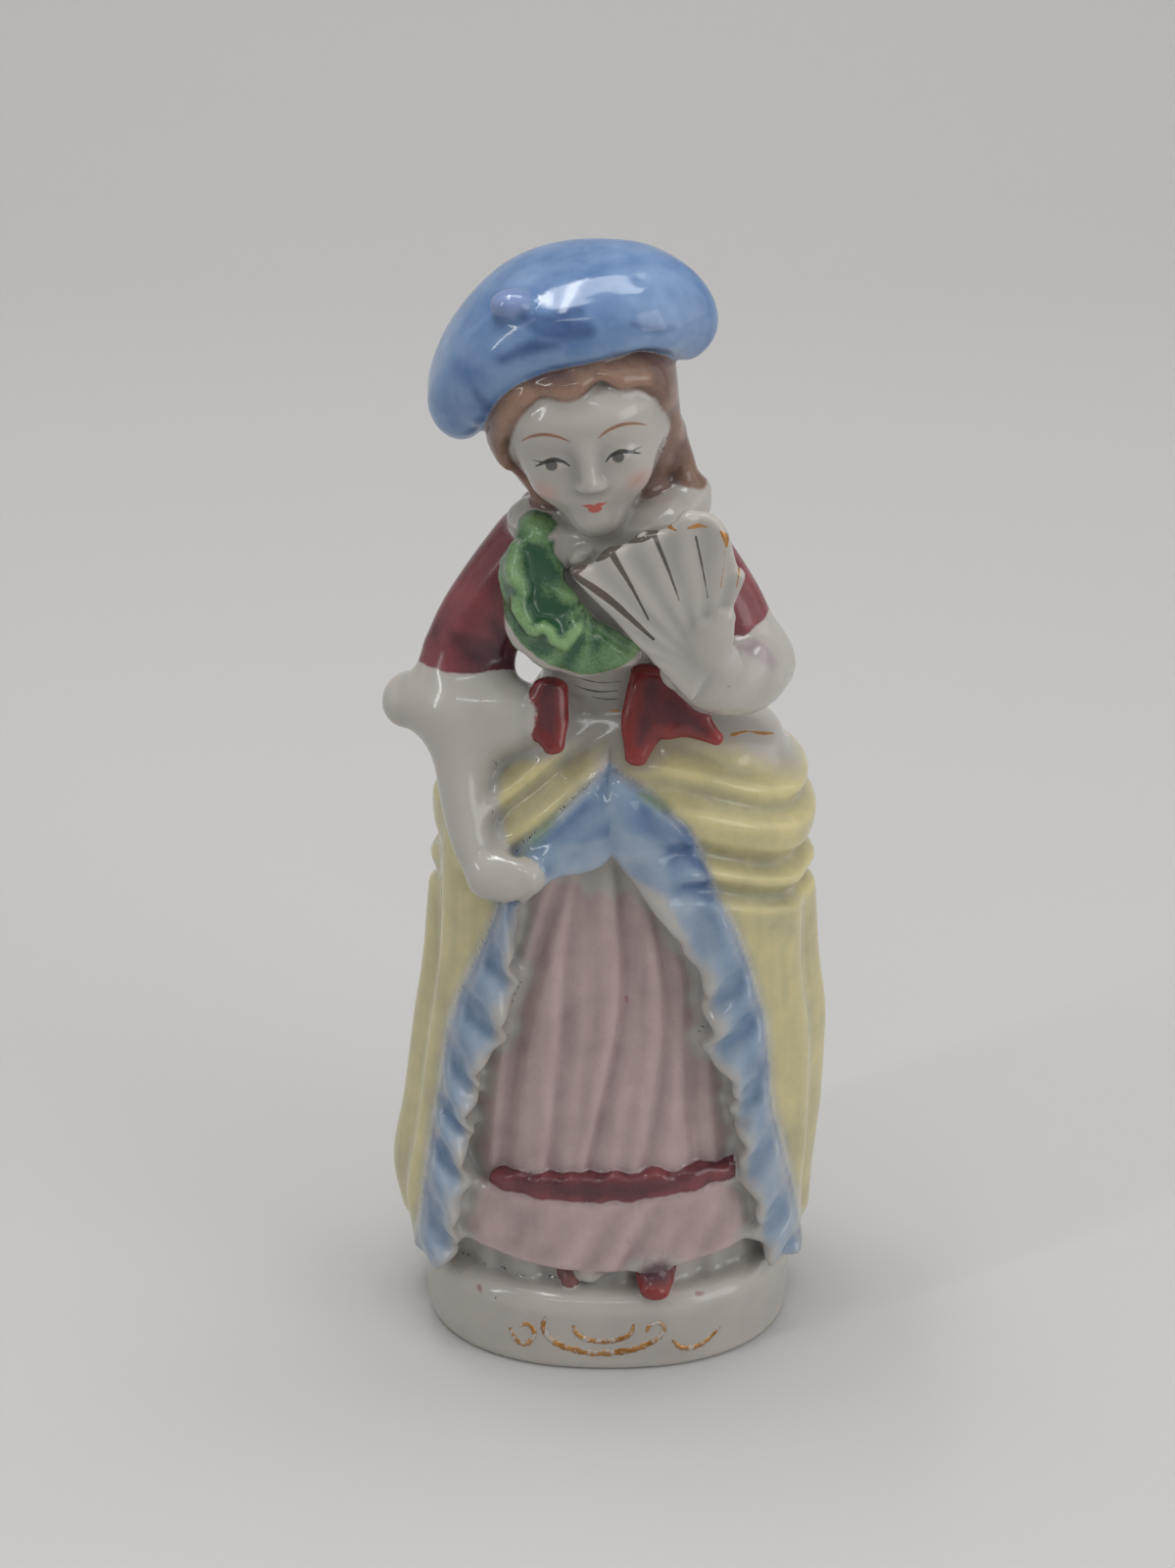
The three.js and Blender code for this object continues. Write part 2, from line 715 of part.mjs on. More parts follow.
// Reach of the blades, by angle, as a share of the fan's radius.
const fanReach = [
  [fanEnd, 0.7],
  [fanEnd + 10, 0.86],
  [fanEnd + 24, 0.98],
  [110, 0.96],
  [fanStart, 1.02],
];
forms.fan = (grow = 0) => {
  const [x, y, z] = fanPivot;
  const hub = 2.6;
  const rings = steps(fanBlades * 4).map((s) => {
    const degrees = mix(fanStart, fanEnd, s);
    const angle = degrees * rad;
    const ridge = fanBladeDepth * Math.cos(2 * Math.PI * s * fanBlades);
    const reach = fanRadius * along(fanReach, degrees)[0];
    const at = (radius, deep) =>
      new THREE.Vector3(
        x + radius * Math.cos(angle),
        y + deep - 0.02 * radius,
        z + radius * Math.sin(angle),
      );
    const half = fanThickness / 2 + grow;
    return [
      at(hub - grow, -half),
      at(reach * 0.6, -half - ridge * 0.6),
      at(reach + grow, -half - ridge),
      at(reach + grow, half),
      at(hub - grow, half),
    ];
  });
  return skin(rings);
};

// The green collar falls from her right shoulder across the bust in one wide frill.
forms.collar = (grow = 0) =>
  limb(
    [
      [-7.6, -7.4, shoulder - 0.6, 4.4, 4.4],
      [-8.7, -9, shoulder - 5.4, 7.2, 5.2],
      [-6.8, -10.6, shoulder - 10.2, 8, 5.4],
      [-2.4, -11.8, shoulder - 12.2, 6.4, 4.8],
      [1.4, -12.2, shoulder - 11, 4.2, 4],
    ],
    grow,
    { sides: 14, rows: 14 },
  );
forms.collarFrill = (grow = 0) =>
  limb(
    [
      [-8.6, -12, shoulder - 2.4, 1.6, 2],
      [-8.6, -13.2, shoulder - 6.4, 2.2, 2.2],
      [-6.4, -14, shoulder - 9, 2.4, 2.2],
      [-3.6, -14.4, shoulder - 8.6, 1.8, 1.8],
    ],
    grow,
    { sides: 8, rows: 8 },
  );
forms.neckFrill = (grow = 0) =>
  limb(
    [
      [-8.2, -4.4, shoulder - 0.4, 3.8, 4],
      [-5.2, -8, shoulder - 1.6, 3.8, 4],
      [0.6, -9.8, shoulder - 1.4, 4, 4],
      [5.6, -8, shoulder + 0.6, 4.8, 4.6],
      [8, -3.6, shoulder + 1, 4.4, 4.6],
    ],
    grow,
    { sides: 12, rows: 12 },
  );

forms.rightTail = (grow = 0) =>
  limb(
    [
      [-6.6, -7, waist + 5.2, 3.6, 3.4],
      [-6.2, -9, waist + 2, 4.4, 3],
      [-5.6, -10.8, waist - 1, 2.6, 2.4],
    ],
    grow,
  );
forms.leftTail = (grow = 0) => {
  const fall = [
    [4.4, -7.6, waist + 6.2, 4, 3],
    [3.8, -9.4, waist + 2.4, 4.4, 3],
    [3, -11.6, waist - 2, 2.8, 2.4],
  ];
  const lappet = [
    [4.8, -8.6, waist + 4.6, 4.6, 3],
    [8, -10.6, waist + 2.8, 4.4, 2.8],
    [11, -12, waist + 0.9, 2.2, 2.2],
  ];
  return limb(fall, grow).add(limb(lappet, grow));
};

const shoe = (x, lift) => (grow = 0) =>
  limb(
    [
      [x, -plinthDepth / 2 + 5.4, plinthHeight + lift + 1.4, shoeWidth, shoeWidth],
      [x, -plinthDepth / 2 + 3, plinthHeight + lift + 0.9, shoeWidth, shoeWidth - 0.6],
      [x, -plinthDepth / 2 + 5.4 - shoeLength, plinthHeight + lift, shoeWidth - 1, 1.6],
    ],
    grow,
    { sides: 10, rows: 5 },
  );
forms.leftShoe = shoe(5.4, 0.4);
forms.rightShoe = shoe(-4.2, 0.6);

// Gilt scrolls in low relief on the plinth's front, laid along its wall.
const plinthPoint = (x, z, lift) => {
  const half = [[0, plinthWidth / 2, plinthWidth / 2, plinthDepth / 2, plinthDepth / 2]];
  let angle = Math.atan2(x, plinthDepth / 2) / rad;
  for (let i = 0; i < 6; i++) {
    const reach = girth(half, angle, 0) * Math.sin(angle * rad);
    angle += ((x - reach) / (plinthDepth / 2)) / rad;
  }
  return onAxis(angle, girth(half, angle, 0) + lift, z - plinthHeight);
};
function scroll(points, width) {
  const lift = seam + width / 2;
  const drawn = new THREE.CatmullRomCurve3(points.map(([x, z]) => plinthPoint(x, z, lift)));
  const rings = steps(points.length * 3).map((s) => {
    const middle = drawn.getPoint(s);
    const tangent = drawn.getTangent(s);
    const out = new THREE.Vector3(middle.x, middle.y, 0).normalize();
    const across = tangent.clone().cross(out).normalize();
    const taper = (width / 2) * (0.55 + 0.45 * Math.sin(Math.PI * s));
    return steps(6).slice(1).map((t) =>
      middle
        .clone()
        .addScaledVector(across, taper * Math.cos(2 * Math.PI * t))
        .addScaledVector(out, (width / 2) * Math.sin(2 * Math.PI * t)),
    );
  });
  return skin(rings);
}
const curl = (x, z, radius, from, to, count = 5) =>
  steps(count).map((s) => {
    const angle = mix(from, to, s) * rad;
    const shrink = mix(1, 0.55, s);
    return [x + radius * shrink * Math.cos(angle), z + radius * shrink * Math.sin(angle)];
  });

// Colours, as the fired porcelain and its enamels show.
const glaze = (colour, roughness = 0.15, metalness = 0) =>
  new THREE.MeshStandardMaterial({ color: colour, roughness, metalness });
const white = glaze(0xdcdad6);
const yellow = glaze(0xd9d5a8);
const blue = glaze(0x7f9fcb);
const pink = glaze(0xc9b4b4);
const red = glaze(0x7a2b2c);
const green = glaze(0x3f7d45);
const brown = glaze(0x8a6552);
const gold = glaze(0xc79a5b, 0.3, 1);

// Assembly.
const figurine = new THREE.Group();
function add(name, material, solid) {
  const { numProp, vertProperties, triVerts, numVert } = solid.getMesh();
  const position = new Float32Array(numVert * 3);
  for (let i = 0; i < numVert; i++) {
    position.set(vertProperties.subarray(i * numProp, i * numProp + 3), i * 3);
  }
  const geometry = new THREE.BufferGeometry()
    .setAttribute("position", new THREE.BufferAttribute(position, 3))
    .setIndex(new THREE.BufferAttribute(triVerts, 1));
  geometry.computeVertexNormals();
  const mesh = new THREE.Mesh(geometry, material);
  mesh.name = name;
  figurine.add(mesh);
}

const f = forms;
const skirts = [f.petticoat, f.gown, f.leftPannier, f.rightPannier, f.leftBorder, f.rightBorder];

add("plinth", white, plinthCasting());
add("petticoat", pink, petticoatCasting());
add("flounce", pink, f.flounce());
add("flounce_ribbon", red, f.ribbon());
add("gown_train", yellow, f.gown());
add("left_pannier", yellow, f.leftPannier());
add("right_pannier", yellow, f.rightPannier());
add("left_border", blue, f.leftBorder());
add("right_border", blue, f.rightBorder());
add("torso", white, torsoCasting());
add("head", white, f.head());
add("neck", white, trimmed(f.neck(), f.head, f.torso));
add("hair", brown, trimmed(f.hair(), f.head, f.neck));
add("hair_lock", brown, trimmed(f.hairLock(), f.head, f.hair, f.neck, f.leftSleeve));
add("beret", blue, trimmed(f.hat(), f.head, f.hair));
add("beret_button", blue, trimmed(f.hatButton(), f.hat));
add("right_sleeve", red, trimmed(f.rightSleeve(), f.torso, f.neck, f.hair));
add("left_sleeve", red, trimmed(f.leftSleeve(), f.torso, f.neck, f.hair));
add("right_cuff", white, trimmed(f.rightCuff(), f.torso, f.rightSleeve, ...skirts));
add("left_cuff", white, trimmed(f.leftCuff(), f.torso, f.leftSleeve, ...skirts));
add("right_forearm", white, trimmed(f.rightForearm(), f.rightCuff, ...skirts));
add("right_hand", white, trimmed(f.rightHand(), f.rightForearm, ...skirts));
add("collar", green, trimmed(f.collar(), f.torso, f.neck, f.head, f.hair, f.rightSleeve,
  f.leftSleeve));
add("neck_frill", white, trimmed(f.neckFrill(), f.torso, f.neck, f.head, f.collar, f.rightSleeve,
  f.leftSleeve, f.hair, f.hairLock));
add("left_hand", white, trimmed(f.leftHand(), f.leftCuff, f.collar));
add("fan", white, trimmed(f.fan(), f.leftHand, f.collar, f.head, f.neckFrill, f.leftCuff));
add("collar_frill", green, trimmed(f.collarFrill(), f.collar, f.neckFrill, f.head, f.fan));
add("right_tail", red, trimmed(f.rightTail(), f.torso, f.rightCuff, f.collar, ...skirts));
add("left_tail", red, trimmed(f.leftTail(), f.torso, f.leftCuff, f.collar, f.leftHand, ...skirts));
add("left_shoe", red, trimmed(f.leftShoe(), f.plinth, f.petticoat, f.flounce));
add("right_shoe", red, trimmed(f.rightShoe(), f.plinth, f.petticoat, f.flounce));
const reach = plinthWidth / 2 - 11.8;
const garland = [
  [-reach, 6],
  [1.2 - reach, 4.4],
  [4.8 - reach, 2.6],
  [0, 2.2],
  [reach - 4.6, 2.8],
  [reach - 1.2, 4.6],
  [reach - 0.2, 6],
];
add("garland_scroll", gold, scroll(garland, giltWidth));
add("centre_scroll", gold, scroll([[-3.6, 6.2], [-2.8, 4.8], [0, 4.1], [2.8, 4.8], [3.6, 6.2]], giltWidth));
add("right_scroll", gold, scroll(curl(9.4 - plinthWidth / 2, 4.4, 1.7, 120, -150), giltWidth));
const flick = [[-10.6, 4.2], [-9.4, 3], [-8.2, 2.8], [-6.6, 4.4]];
add("left_scroll", gold, scroll(flick.map(([x, z]) => [plinthWidth / 2 + x, z]), giltWidth));

export default figurine;
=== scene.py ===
"""A porcelain lady with an open fan, as it looks: slip-cast, luted, painted in enamels and glazed.

Every size of the figurine is in millimetres, and is turned to metres where a mesh is made. The
panel's sizes and the stage are in metres. "Right" and "left" are the lady's own, so her right arm
is on the -X side. She faces -Y.
"""

import math

import bpy
import numpy as np
from bpy.props import FloatProperty, FloatVectorProperty, PointerProperty
from mathutils import Euler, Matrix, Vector


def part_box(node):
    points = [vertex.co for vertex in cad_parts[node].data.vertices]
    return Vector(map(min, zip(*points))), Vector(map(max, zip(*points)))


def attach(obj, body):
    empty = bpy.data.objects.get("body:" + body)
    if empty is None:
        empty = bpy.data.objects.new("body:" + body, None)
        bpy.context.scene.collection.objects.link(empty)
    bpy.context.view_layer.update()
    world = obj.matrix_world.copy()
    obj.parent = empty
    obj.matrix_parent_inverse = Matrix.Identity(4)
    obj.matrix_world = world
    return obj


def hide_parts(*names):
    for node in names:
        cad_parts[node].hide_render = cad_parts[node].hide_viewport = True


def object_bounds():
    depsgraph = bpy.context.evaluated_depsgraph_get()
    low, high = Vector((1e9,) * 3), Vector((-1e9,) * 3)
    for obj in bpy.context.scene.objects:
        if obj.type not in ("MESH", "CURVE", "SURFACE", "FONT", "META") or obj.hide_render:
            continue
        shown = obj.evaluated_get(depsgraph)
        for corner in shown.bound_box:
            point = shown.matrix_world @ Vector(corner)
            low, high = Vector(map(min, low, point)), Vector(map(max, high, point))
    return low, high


bl_info = {
    "name": "Porcelain lady with a fan",
    "version": (1, 0, 0),
    "blender": (4, 5, 0),
    "location": "3D View > Sidebar > Figurine",
    "description": "Casts, lutes, paints and glazes a small porcelain figurine on the CAD frame",
    "category": "Object",
}

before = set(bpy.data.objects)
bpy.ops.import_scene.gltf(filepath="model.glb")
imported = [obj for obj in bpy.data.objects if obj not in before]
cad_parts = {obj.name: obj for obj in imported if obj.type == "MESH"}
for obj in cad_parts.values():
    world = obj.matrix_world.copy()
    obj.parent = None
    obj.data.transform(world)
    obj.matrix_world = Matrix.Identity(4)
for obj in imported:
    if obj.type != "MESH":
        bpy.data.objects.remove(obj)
cad_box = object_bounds()
MM = 0.001
CAD_LOW = np.array(cad_box[0]) / MM
CAD_HIGH = np.array(cad_box[1]) / MM

# Levels of the CAD model.
PLINTH_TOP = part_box("plinth")[1].z / MM
WAIST = PLINTH_TOP + 66.4
SHOULDER = WAIST + 23
PLINTH_HALF_WIDE = 21.0
PLINTH_HALF_DEEP = 17.5
FOOT_RING = 3.9  # how wide the ring is that the plinth stands on
SKIRT_END = 68  # above the plinth: how far the skirt's layers run up inside the torso
SIDE = 75  # degrees round from the front, past which the flounce's levels stay the same
FLOUNCE_PROUD = 1.7
FLOUNCE_ENDS = 64  # degrees round from the front
RIBBON_PROUD = 1.05
RIBBON_HIGH = 3.5
RIBBON_ENDS = 53  # degrees
EDGING_PROUD = 1.1
RUFFLE_DEPTH = 0.95
FOLD_DEPTH = 0.8  # of the train's long folds
FAR = 9.0  # what a piece that is out of reach counts as
AWAY = 20.0  # what a brush adds where it can't reach
OVAL = 2.3  # the power of the ovals that a body is built of: 2 is an ellipse


# Curves and blends.
def ease(t):
    t = np.clip(t, 0, 1)
    return t * t * (3 - 2 * t)


def melt(a, b, soft):
    """The nearer of two distances, with the crease between them filled by glaze."""
    gap = np.maximum(soft - np.abs(a - b), 0)
    return np.minimum(a, b) - gap * gap / (4 * soft)


def cut(a, b, soft):
    """What is inside both, with the edge between them softened."""
    return -melt(-a, -b, soft)


def run(rows, count=300):
    """A smooth run without overshoot through rows of [place, value, ...]: places, values, slopes."""
    rows = np.array(rows, float)
    at, value = rows[:, 0], rows[:, 1:]
    step = np.diff(at)[:, None]
    rise = np.diff(value, axis=0) / step
    slope = np.vstack([rise[:1], np.zeros_like(value[1:-1]), rise[-1:]])
    before, after = rise[:-1], rise[1:]
    same = before * after > 0
    wb, wa = step[:-1] + 2 * step[1:], 2 * step[:-1] + step[1:]
    with np.errstate(divide="ignore", invalid="ignore"):
        mean = (wa + wb) / (wa / before + wb / after)
    slope[1:-1] = np.where(same, mean, 0)
    fine = np.linspace(at[0], at[-1], count)
    i = np.clip(np.searchsorted(at, fine, "right") - 1, 0, len(at) - 2)
    w, t = step[i], ((fine - at[i])[:, None] / step[i])
    drawn = (
        value[i] * (1 + 2 * t) * (1 - t) ** 2
        + value[i + 1] * t * t * (3 - 2 * t)
        + w * slope[i] * t * (1 - t) ** 2
        - w * slope[i + 1] * t * t * (1 - t)
    )
    return fine, drawn, np.gradient(drawn, fine, axis=0)


def read(table, at):
    """The values of a run at the given places, one array for each."""
    return [np.interp(at, table[0], column) for column in table[1].T]


class Stack:
    """A body built of ovals, from rows of [height, her right, her left, front, back]."""

    def __init__(self, rows, power=OVAL):
        self.table = run(rows)
        self.power = power

    def __call__(self, x, y, height):
        n = self.power
        right, left, front, back = read(self.table, height)
        sr, sl, sf, sb = (np.interp(height, self.table[0], c) for c in self.table[2].T)
        a, da = np.where(x < 0, right, left), np.where(x < 0, sr, sl)
        b, db = np.where(y < 0, front, back), np.where(y < 0, sf, sb)
        u, v = np.abs(x) / a, np.abs(y) / b
        size = np.maximum((u**n + v**n) ** (1 / n), 1e-2)
        lead = size ** (1 - n)
        gx, gy = lead * u ** (n - 1) / a, lead * v ** (n - 1) / b
        gh = gx * u * da + gy * v * db
        return (size - 1) / np.sqrt(gx * gx + gy * gy + gh * gh + 1e-6)


def rail(points, count):
    """A smooth line through points, and how far along each of its own points lies."""
    points = np.array(points, float)
    ends = [2 * points[0] - points[1], *points, 2 * points[-1] - points[-2]]
    t = np.linspace(0, len(points) - 1, count + 1)
    i = np.minimum(t.astype(int), len(points) - 2)
    f = (t - i)[:, None]
    a, b, c, d = (np.array([ends[k + s] for k in i]) for s in range(4))
    line = 0.5 * (2 * b + (c - a) * f + (2 * a - 5 * b + 4 * c - d) * f**2
                  + (3 * b - a - 3 * c + d) * f**3)
    return line, t


def nearest(p, line):
    """For each point, the nearest segment of a line, the share along it, and the distance."""
    start, way = line[:-1], np.diff(line, axis=0)
    length = (way * way).sum(1)
    ahead = p @ way.T - (start * way).sum(1)
    t = np.clip(ahead / length, 0, 1)
    apart = (p * p).sum(1)[:, None] - 2 * p @ start.T + (start * start).sum(1)
    apart = apart - 2 * t * ahead + t * t * length
    i = apart.argmin(1)
    each = np.arange(len(p))
    return i, t[each, i], np.sqrt(np.maximum(apart[each, i], 0))


class Limb:
    """A rolled piece of clay through stations of [x, y, z, width, depth]."""

    def __init__(self, stations, rows=16):
        stations = np.array(stations, float)
        self.line, t = rail(stations[:, :3], rows)
        way = np.gradient(self.line, axis=0)
        way /= np.linalg.norm(way, axis=1)[:, None]
        across = np.cross([0, 1, 0], way)
        across /= np.linalg.norm(across, axis=1)[:, None]
        self.across, self.deep = across, np.cross(way, across)
        table = run(np.column_stack([np.arange(len(stations)), stations[:, 3:] / 2]))
        self.size = np.array(read(table, t)).T
        reach = self.size.max()
        self.low, self.high = self.line.min(0) - reach, self.line.max(0) + reach

    def place(self, p):
        """Distance, the share of the way along, and the two places across, as shares."""
        i, t, _ = nearest(p, self.line)
        w = t[:, None]
        spot = self.line[i] * (1 - w) + self.line[i + 1] * w
        across = self.across[i] * (1 - w) + self.across[i + 1] * w
        deep = self.deep[i] * (1 - w) + self.deep[i + 1] * w
        a, b = (self.size[i] * (1 - w) + self.size[i + 1] * w).T
        off = p - spot
        u, v = (off * across).sum(1), (off * deep).sum(1)
        rest = np.maximum((off * off).sum(1) - u * u - v * v, 0)
        end = np.minimum(a, b)
        size = np.sqrt((u / a) ** 2 + (v / b) ** 2 + rest / end**2)
        lead = np.sqrt((u / a**2) ** 2 + (v / b**2) ** 2 + rest / end**4)
        apart = size * (size - 1) / np.maximum(lead, 1e-4)
        return np.maximum(apart, -end), (i + t) / (len(self.line) - 1), u / a, v / b

    def __call__(self, p):
        return self.place(p)[0]


def egg(p, centre, radii):
    q = (p - centre) / radii
    size = np.sqrt((q * q).sum(1))
    lead = np.sqrt(((q / radii) ** 2).sum(1))
    return size * (size - 1) / np.maximum(lead, 1e-4)


def stroke(p, points, smooth=3):
    """Distance to the edge of a brush stroke or groove through points of [x, y, z, half width]."""
    points = np.array(points, float)
    line, _ = rail(points, smooth * (len(points) - 1))
    i, f, apart = nearest(p, line[:, :3])
    return apart - (line[i, 3] * (1 - f) + line[i + 1, 3] * f)


def modelled(body, p, relief):
    """A body with small folds pressed into it, each with its stations, height and softness."""
    for points, height, width in relief:
        body = body - height * np.exp(-((np.maximum(stroke(p, points), 0) / width) ** 2))
    return body


def above_plinth(p):
    """The two places across, and the height above the plinth."""
    return p[:, 0], p[:, 1], p[:, 2] - PLINTH_TOP


def leaning(first, second):
    """The turn of a piece first about Y, then about X, in degrees."""
    return np.array(Euler((math.radians(second), 0, 0)).to_matrix()) @ np.array(
        Euler((0, math.radians(first), 0)).to_matrix()
    )


def share(key):
    """A share that the user sets in the panel."""
    return getattr(bpy.context.scene.figurine_sizes, key)


# The clay pieces.
# Each form gives the distance to its body, and what part of that body each piece takes.
def petticoat(p):
    x, y, h = above_plinth(p)
    body = PETTICOAT(x, y, h)
    front = ease((3 - y) / 6) * ease((62 - h) / 14) * share("pleats")
    for line, left, right, depth in PLEATS:
        off = x - read(line, h)[0]
        body = body + depth * front * np.exp(-((off / np.where(off < 0, right, left)) ** 2))
    return cut(body, np.maximum(-3 - h, h - SKIRT_END), 0.5), {"petticoat": None}


PETTICOAT = Stack([
    [-4, 19.4, 19.4, 14.3, 14.6],
    [0, 19.4, 19.4, 14.3, 14.6],
    [16, 18.8, 19.4, 14.2, 14.4],
    [30, 17.6, 19.4, 13.8, 13.8],
    [50, 15.6, 17.6, 12.5, 13],
    [60, 12.6, 14.6, 10.2, 10.6],
    [66.4, 7.8, 7.8, 6, 6],
    [70, 7, 7, 5.6, 5.6],
])
# Valleys between the pleats: their run by height, how far each slope reaches, and the depth.
PLEATS = [(run(rows), left, right, depth) for rows, left, right, depth in (
    ([[6, -15.2], [18, -14.6], [34, -12.6], [46, -8.8]], 1.4, 1.2, 0.6),
    ([[6, -12.0], [19, -11.3], [32, -9.8], [44, -6.8], [54, -3.6]], 1.3, 1.0, 0.8),
    ([[6, -7.0], [15, -6.2], [24, -5.4], [33, -4.7], [43, -4.1], [54, -2.4]], 1.5, 0.8, 0.85),
    ([[6, -4.6], [15, -3.6], [24, -2.7], [34, -1.7], [44, -1.9]], 1.1, 1.0, 0.35),
    ([[6, -2.8], [15, -1.9], [25, 0.0], [38, 1.9], [48, 1.5], [56, 0.8]], 1.7, 0.7, 1.0),
    ([[6, 0.6], [15, 1.6], [30, 3.3], [40, 3.7]], 0.9, 1.0, 0.3),
    ([[6, 3.4], [15, 4.4], [25, 5.9], [34, 6.8], [46, 5.0], [54, 2.6]], 1.4, 0.9, 0.8),
    ([[6, 10.4], [17, 9.8], [27, 9.1], [37, 9.0], [46, 6.6]], 1.5, 1.2, 0.85),
    ([[6, 13.6], [17, 12.9], [32, 11.6]], 1.2, 1.2, 0.5),
)]


def angle_of(p):
    """Angle round the figure in degrees: 0 is the front, + is her left."""
    return np.degrees(np.arctan2(p[:, 0], -p[:, 1]))


def hem(angle):
    """How far the flounce's hem hangs above the plinth."""
    return 2.6 + 1.6 * (angle / 50) ** 2


def ribbon_low(angle):
    """How far the ribbon's lower side lies above the plinth."""
    return 11.2 + 1.0 * (angle / 50) ** 2 + 0.5 * angle / 50


def flounce(p):
    x, y, h = above_plinth(p)
    angle = angle_of(p)
    level = np.clip(angle, -SIDE, SIDE)
    low, high = hem(level), ribbon_low(level) + 0.3
    fall = np.clip(1 - (h - low) / (high - low), 0, 1)
    turn = np.radians(angle)
    lean = turn - 0.03 * (h - low)
    wave = 0.7 * np.cos(14 * lean + 2.0 * np.sin(5 * lean)) + 0.4 * np.cos(23 * lean + 1)
    proud = 0.4 + FLOUNCE_PROUD * (0.45 + 0.5 * fall)
    body = PETTICOAT(x, y, h) - proud - 0.5 * wave * fall**0.6
    ends = np.radians(np.abs(angle) - FLOUNCE_ENDS) * np.hypot(x, y)
    edge = np.maximum(low + 0.3 * wave - h, h - high)
    return cut(cut(body, edge, 0.9), ends, 0.6), {"flounce": None}


def ribbon(p):
    x, y, h = above_plinth(p)
    angle = angle_of(p)
    level = np.clip(angle, -SIDE, SIDE)
    turn = np.radians(level)
    low = ribbon_low(level) + 0.14 * np.sin(19 * turn + 1) + 0.1 * np.sin(37 * turn)
    high = low + RIBBON_HIGH * (1 - 0.42 * (level / 50) ** 2) + 0.12 * np.sin(23 * turn)
    body = PETTICOAT(x, y, h) - RIBBON_PROUD + 0.15 * np.sin(29 * turn)
    ends = np.radians(np.abs(angle - 3) - RIBBON_ENDS) * np.hypot(x, y)
    return cut(cut(body, np.maximum(low - h, h - high), 1.1), ends, 1.6), {"flounce_ribbon": None}


GOWN = Stack([
    [0, 22.8, 22.6, 16, 17],
    [7, 23.9, 22.9, 16.2, 17.3],
    [16, 22.5, 23.6, 16.1, 17],
    [26, 21.2, 23.8, 15.9, 16.8],
    [38, 19.5, 22.4, 15.5, 16.4],
    [50, 18.8, 21.8, 14.8, 15.8],
    [58, 17.6, 21.2, 13.6, 14.6],
    [62.4, 14.6, 19, 11.4, 12.4],
    [66.4, 9, 11.5, 8, 8.4],
    [69, 7, 7, 6, 6],
])
# How far the blue edging's two rims are from the middle: [height, her right, her left].
EDGING_IN = run([
    [0, 18.0, 17.8], [6.6, 16.6, 16.6], [16.8, 15.5, 14.5], [24, 14.6, 13.7], [27.5, 13.6, 12.4],
    [31, 11.9, 10.6], [35.5, 10.6, 10.5], [39.3, 10.2, 9.7], [42.5, 10.0, 8.5], [46.4, 9.9, 6.2],
    [49.7, 8.9, 3.7], [51.6, 6.2, 2.2], [53.2, 1.2, 1.0], [54.6, -2, -0.6], [58, -9, -6],
], 900)
EDGING_OUT = run([
    [0, 22.2, 22.4], [5.4, 21.3, 21.7], [15.6, 19.9, 19.6], [24, 18.5, 17.8], [31, 17.5, 17.3],
    [37, 15.7, 16.0], [45.5, 12.5, 13.4], [50.5, 11.0, 11.0], [55.2, 9.2, 9.4], [58, 6.4, 7.7],
    [61.2, 3.2, 4.0], [63.4, 0.6, 0.4], [66.4, -3, -3],
], 900)
PANNIER_LOW = 42.4
# Relief of the swags, by how far up they lie once their sag is taken off.
SWAGS_LEFT = run([
    [38, 0], [46, 0.25], [49, 0.3], [50.8, -0.9], [52.8, 0.5], [54.8, -1.1], [57, 0.7],
    [59.2, 1.1], [61.4, -0.35], [63.4, 0.55], [65.6, -0.5], [68, 0],
])
SWAGS_RIGHT = run([
    [58, 0], [60, 0.2], [62.3, -0.5], [64.6, 0.6], [67.1, -0.8], [69.5, 0.55], [72, -0.5], [75, 0],
])


def edging_rims(x, h):
    """How far the edging's inner and outer rims are from the middle."""
    return (np.where(x < 0, *read(table, h)) for table in (EDGING_IN, EDGING_OUT))


def ruffle_of(x, h, across):
    """The edging's slanting folds: from -1 in a hollow to 1 on a crest."""
    other = x < 0
    turn = 2 * np.pi * (h - 6.2 * across) / np.where(other, 6.9, 7.6) + 1.7 * other
    return np.sin(turn + 0.9 * np.sin(h / 5.3 + 2 * other) + 0.5 * np.sin(h / 2.9))


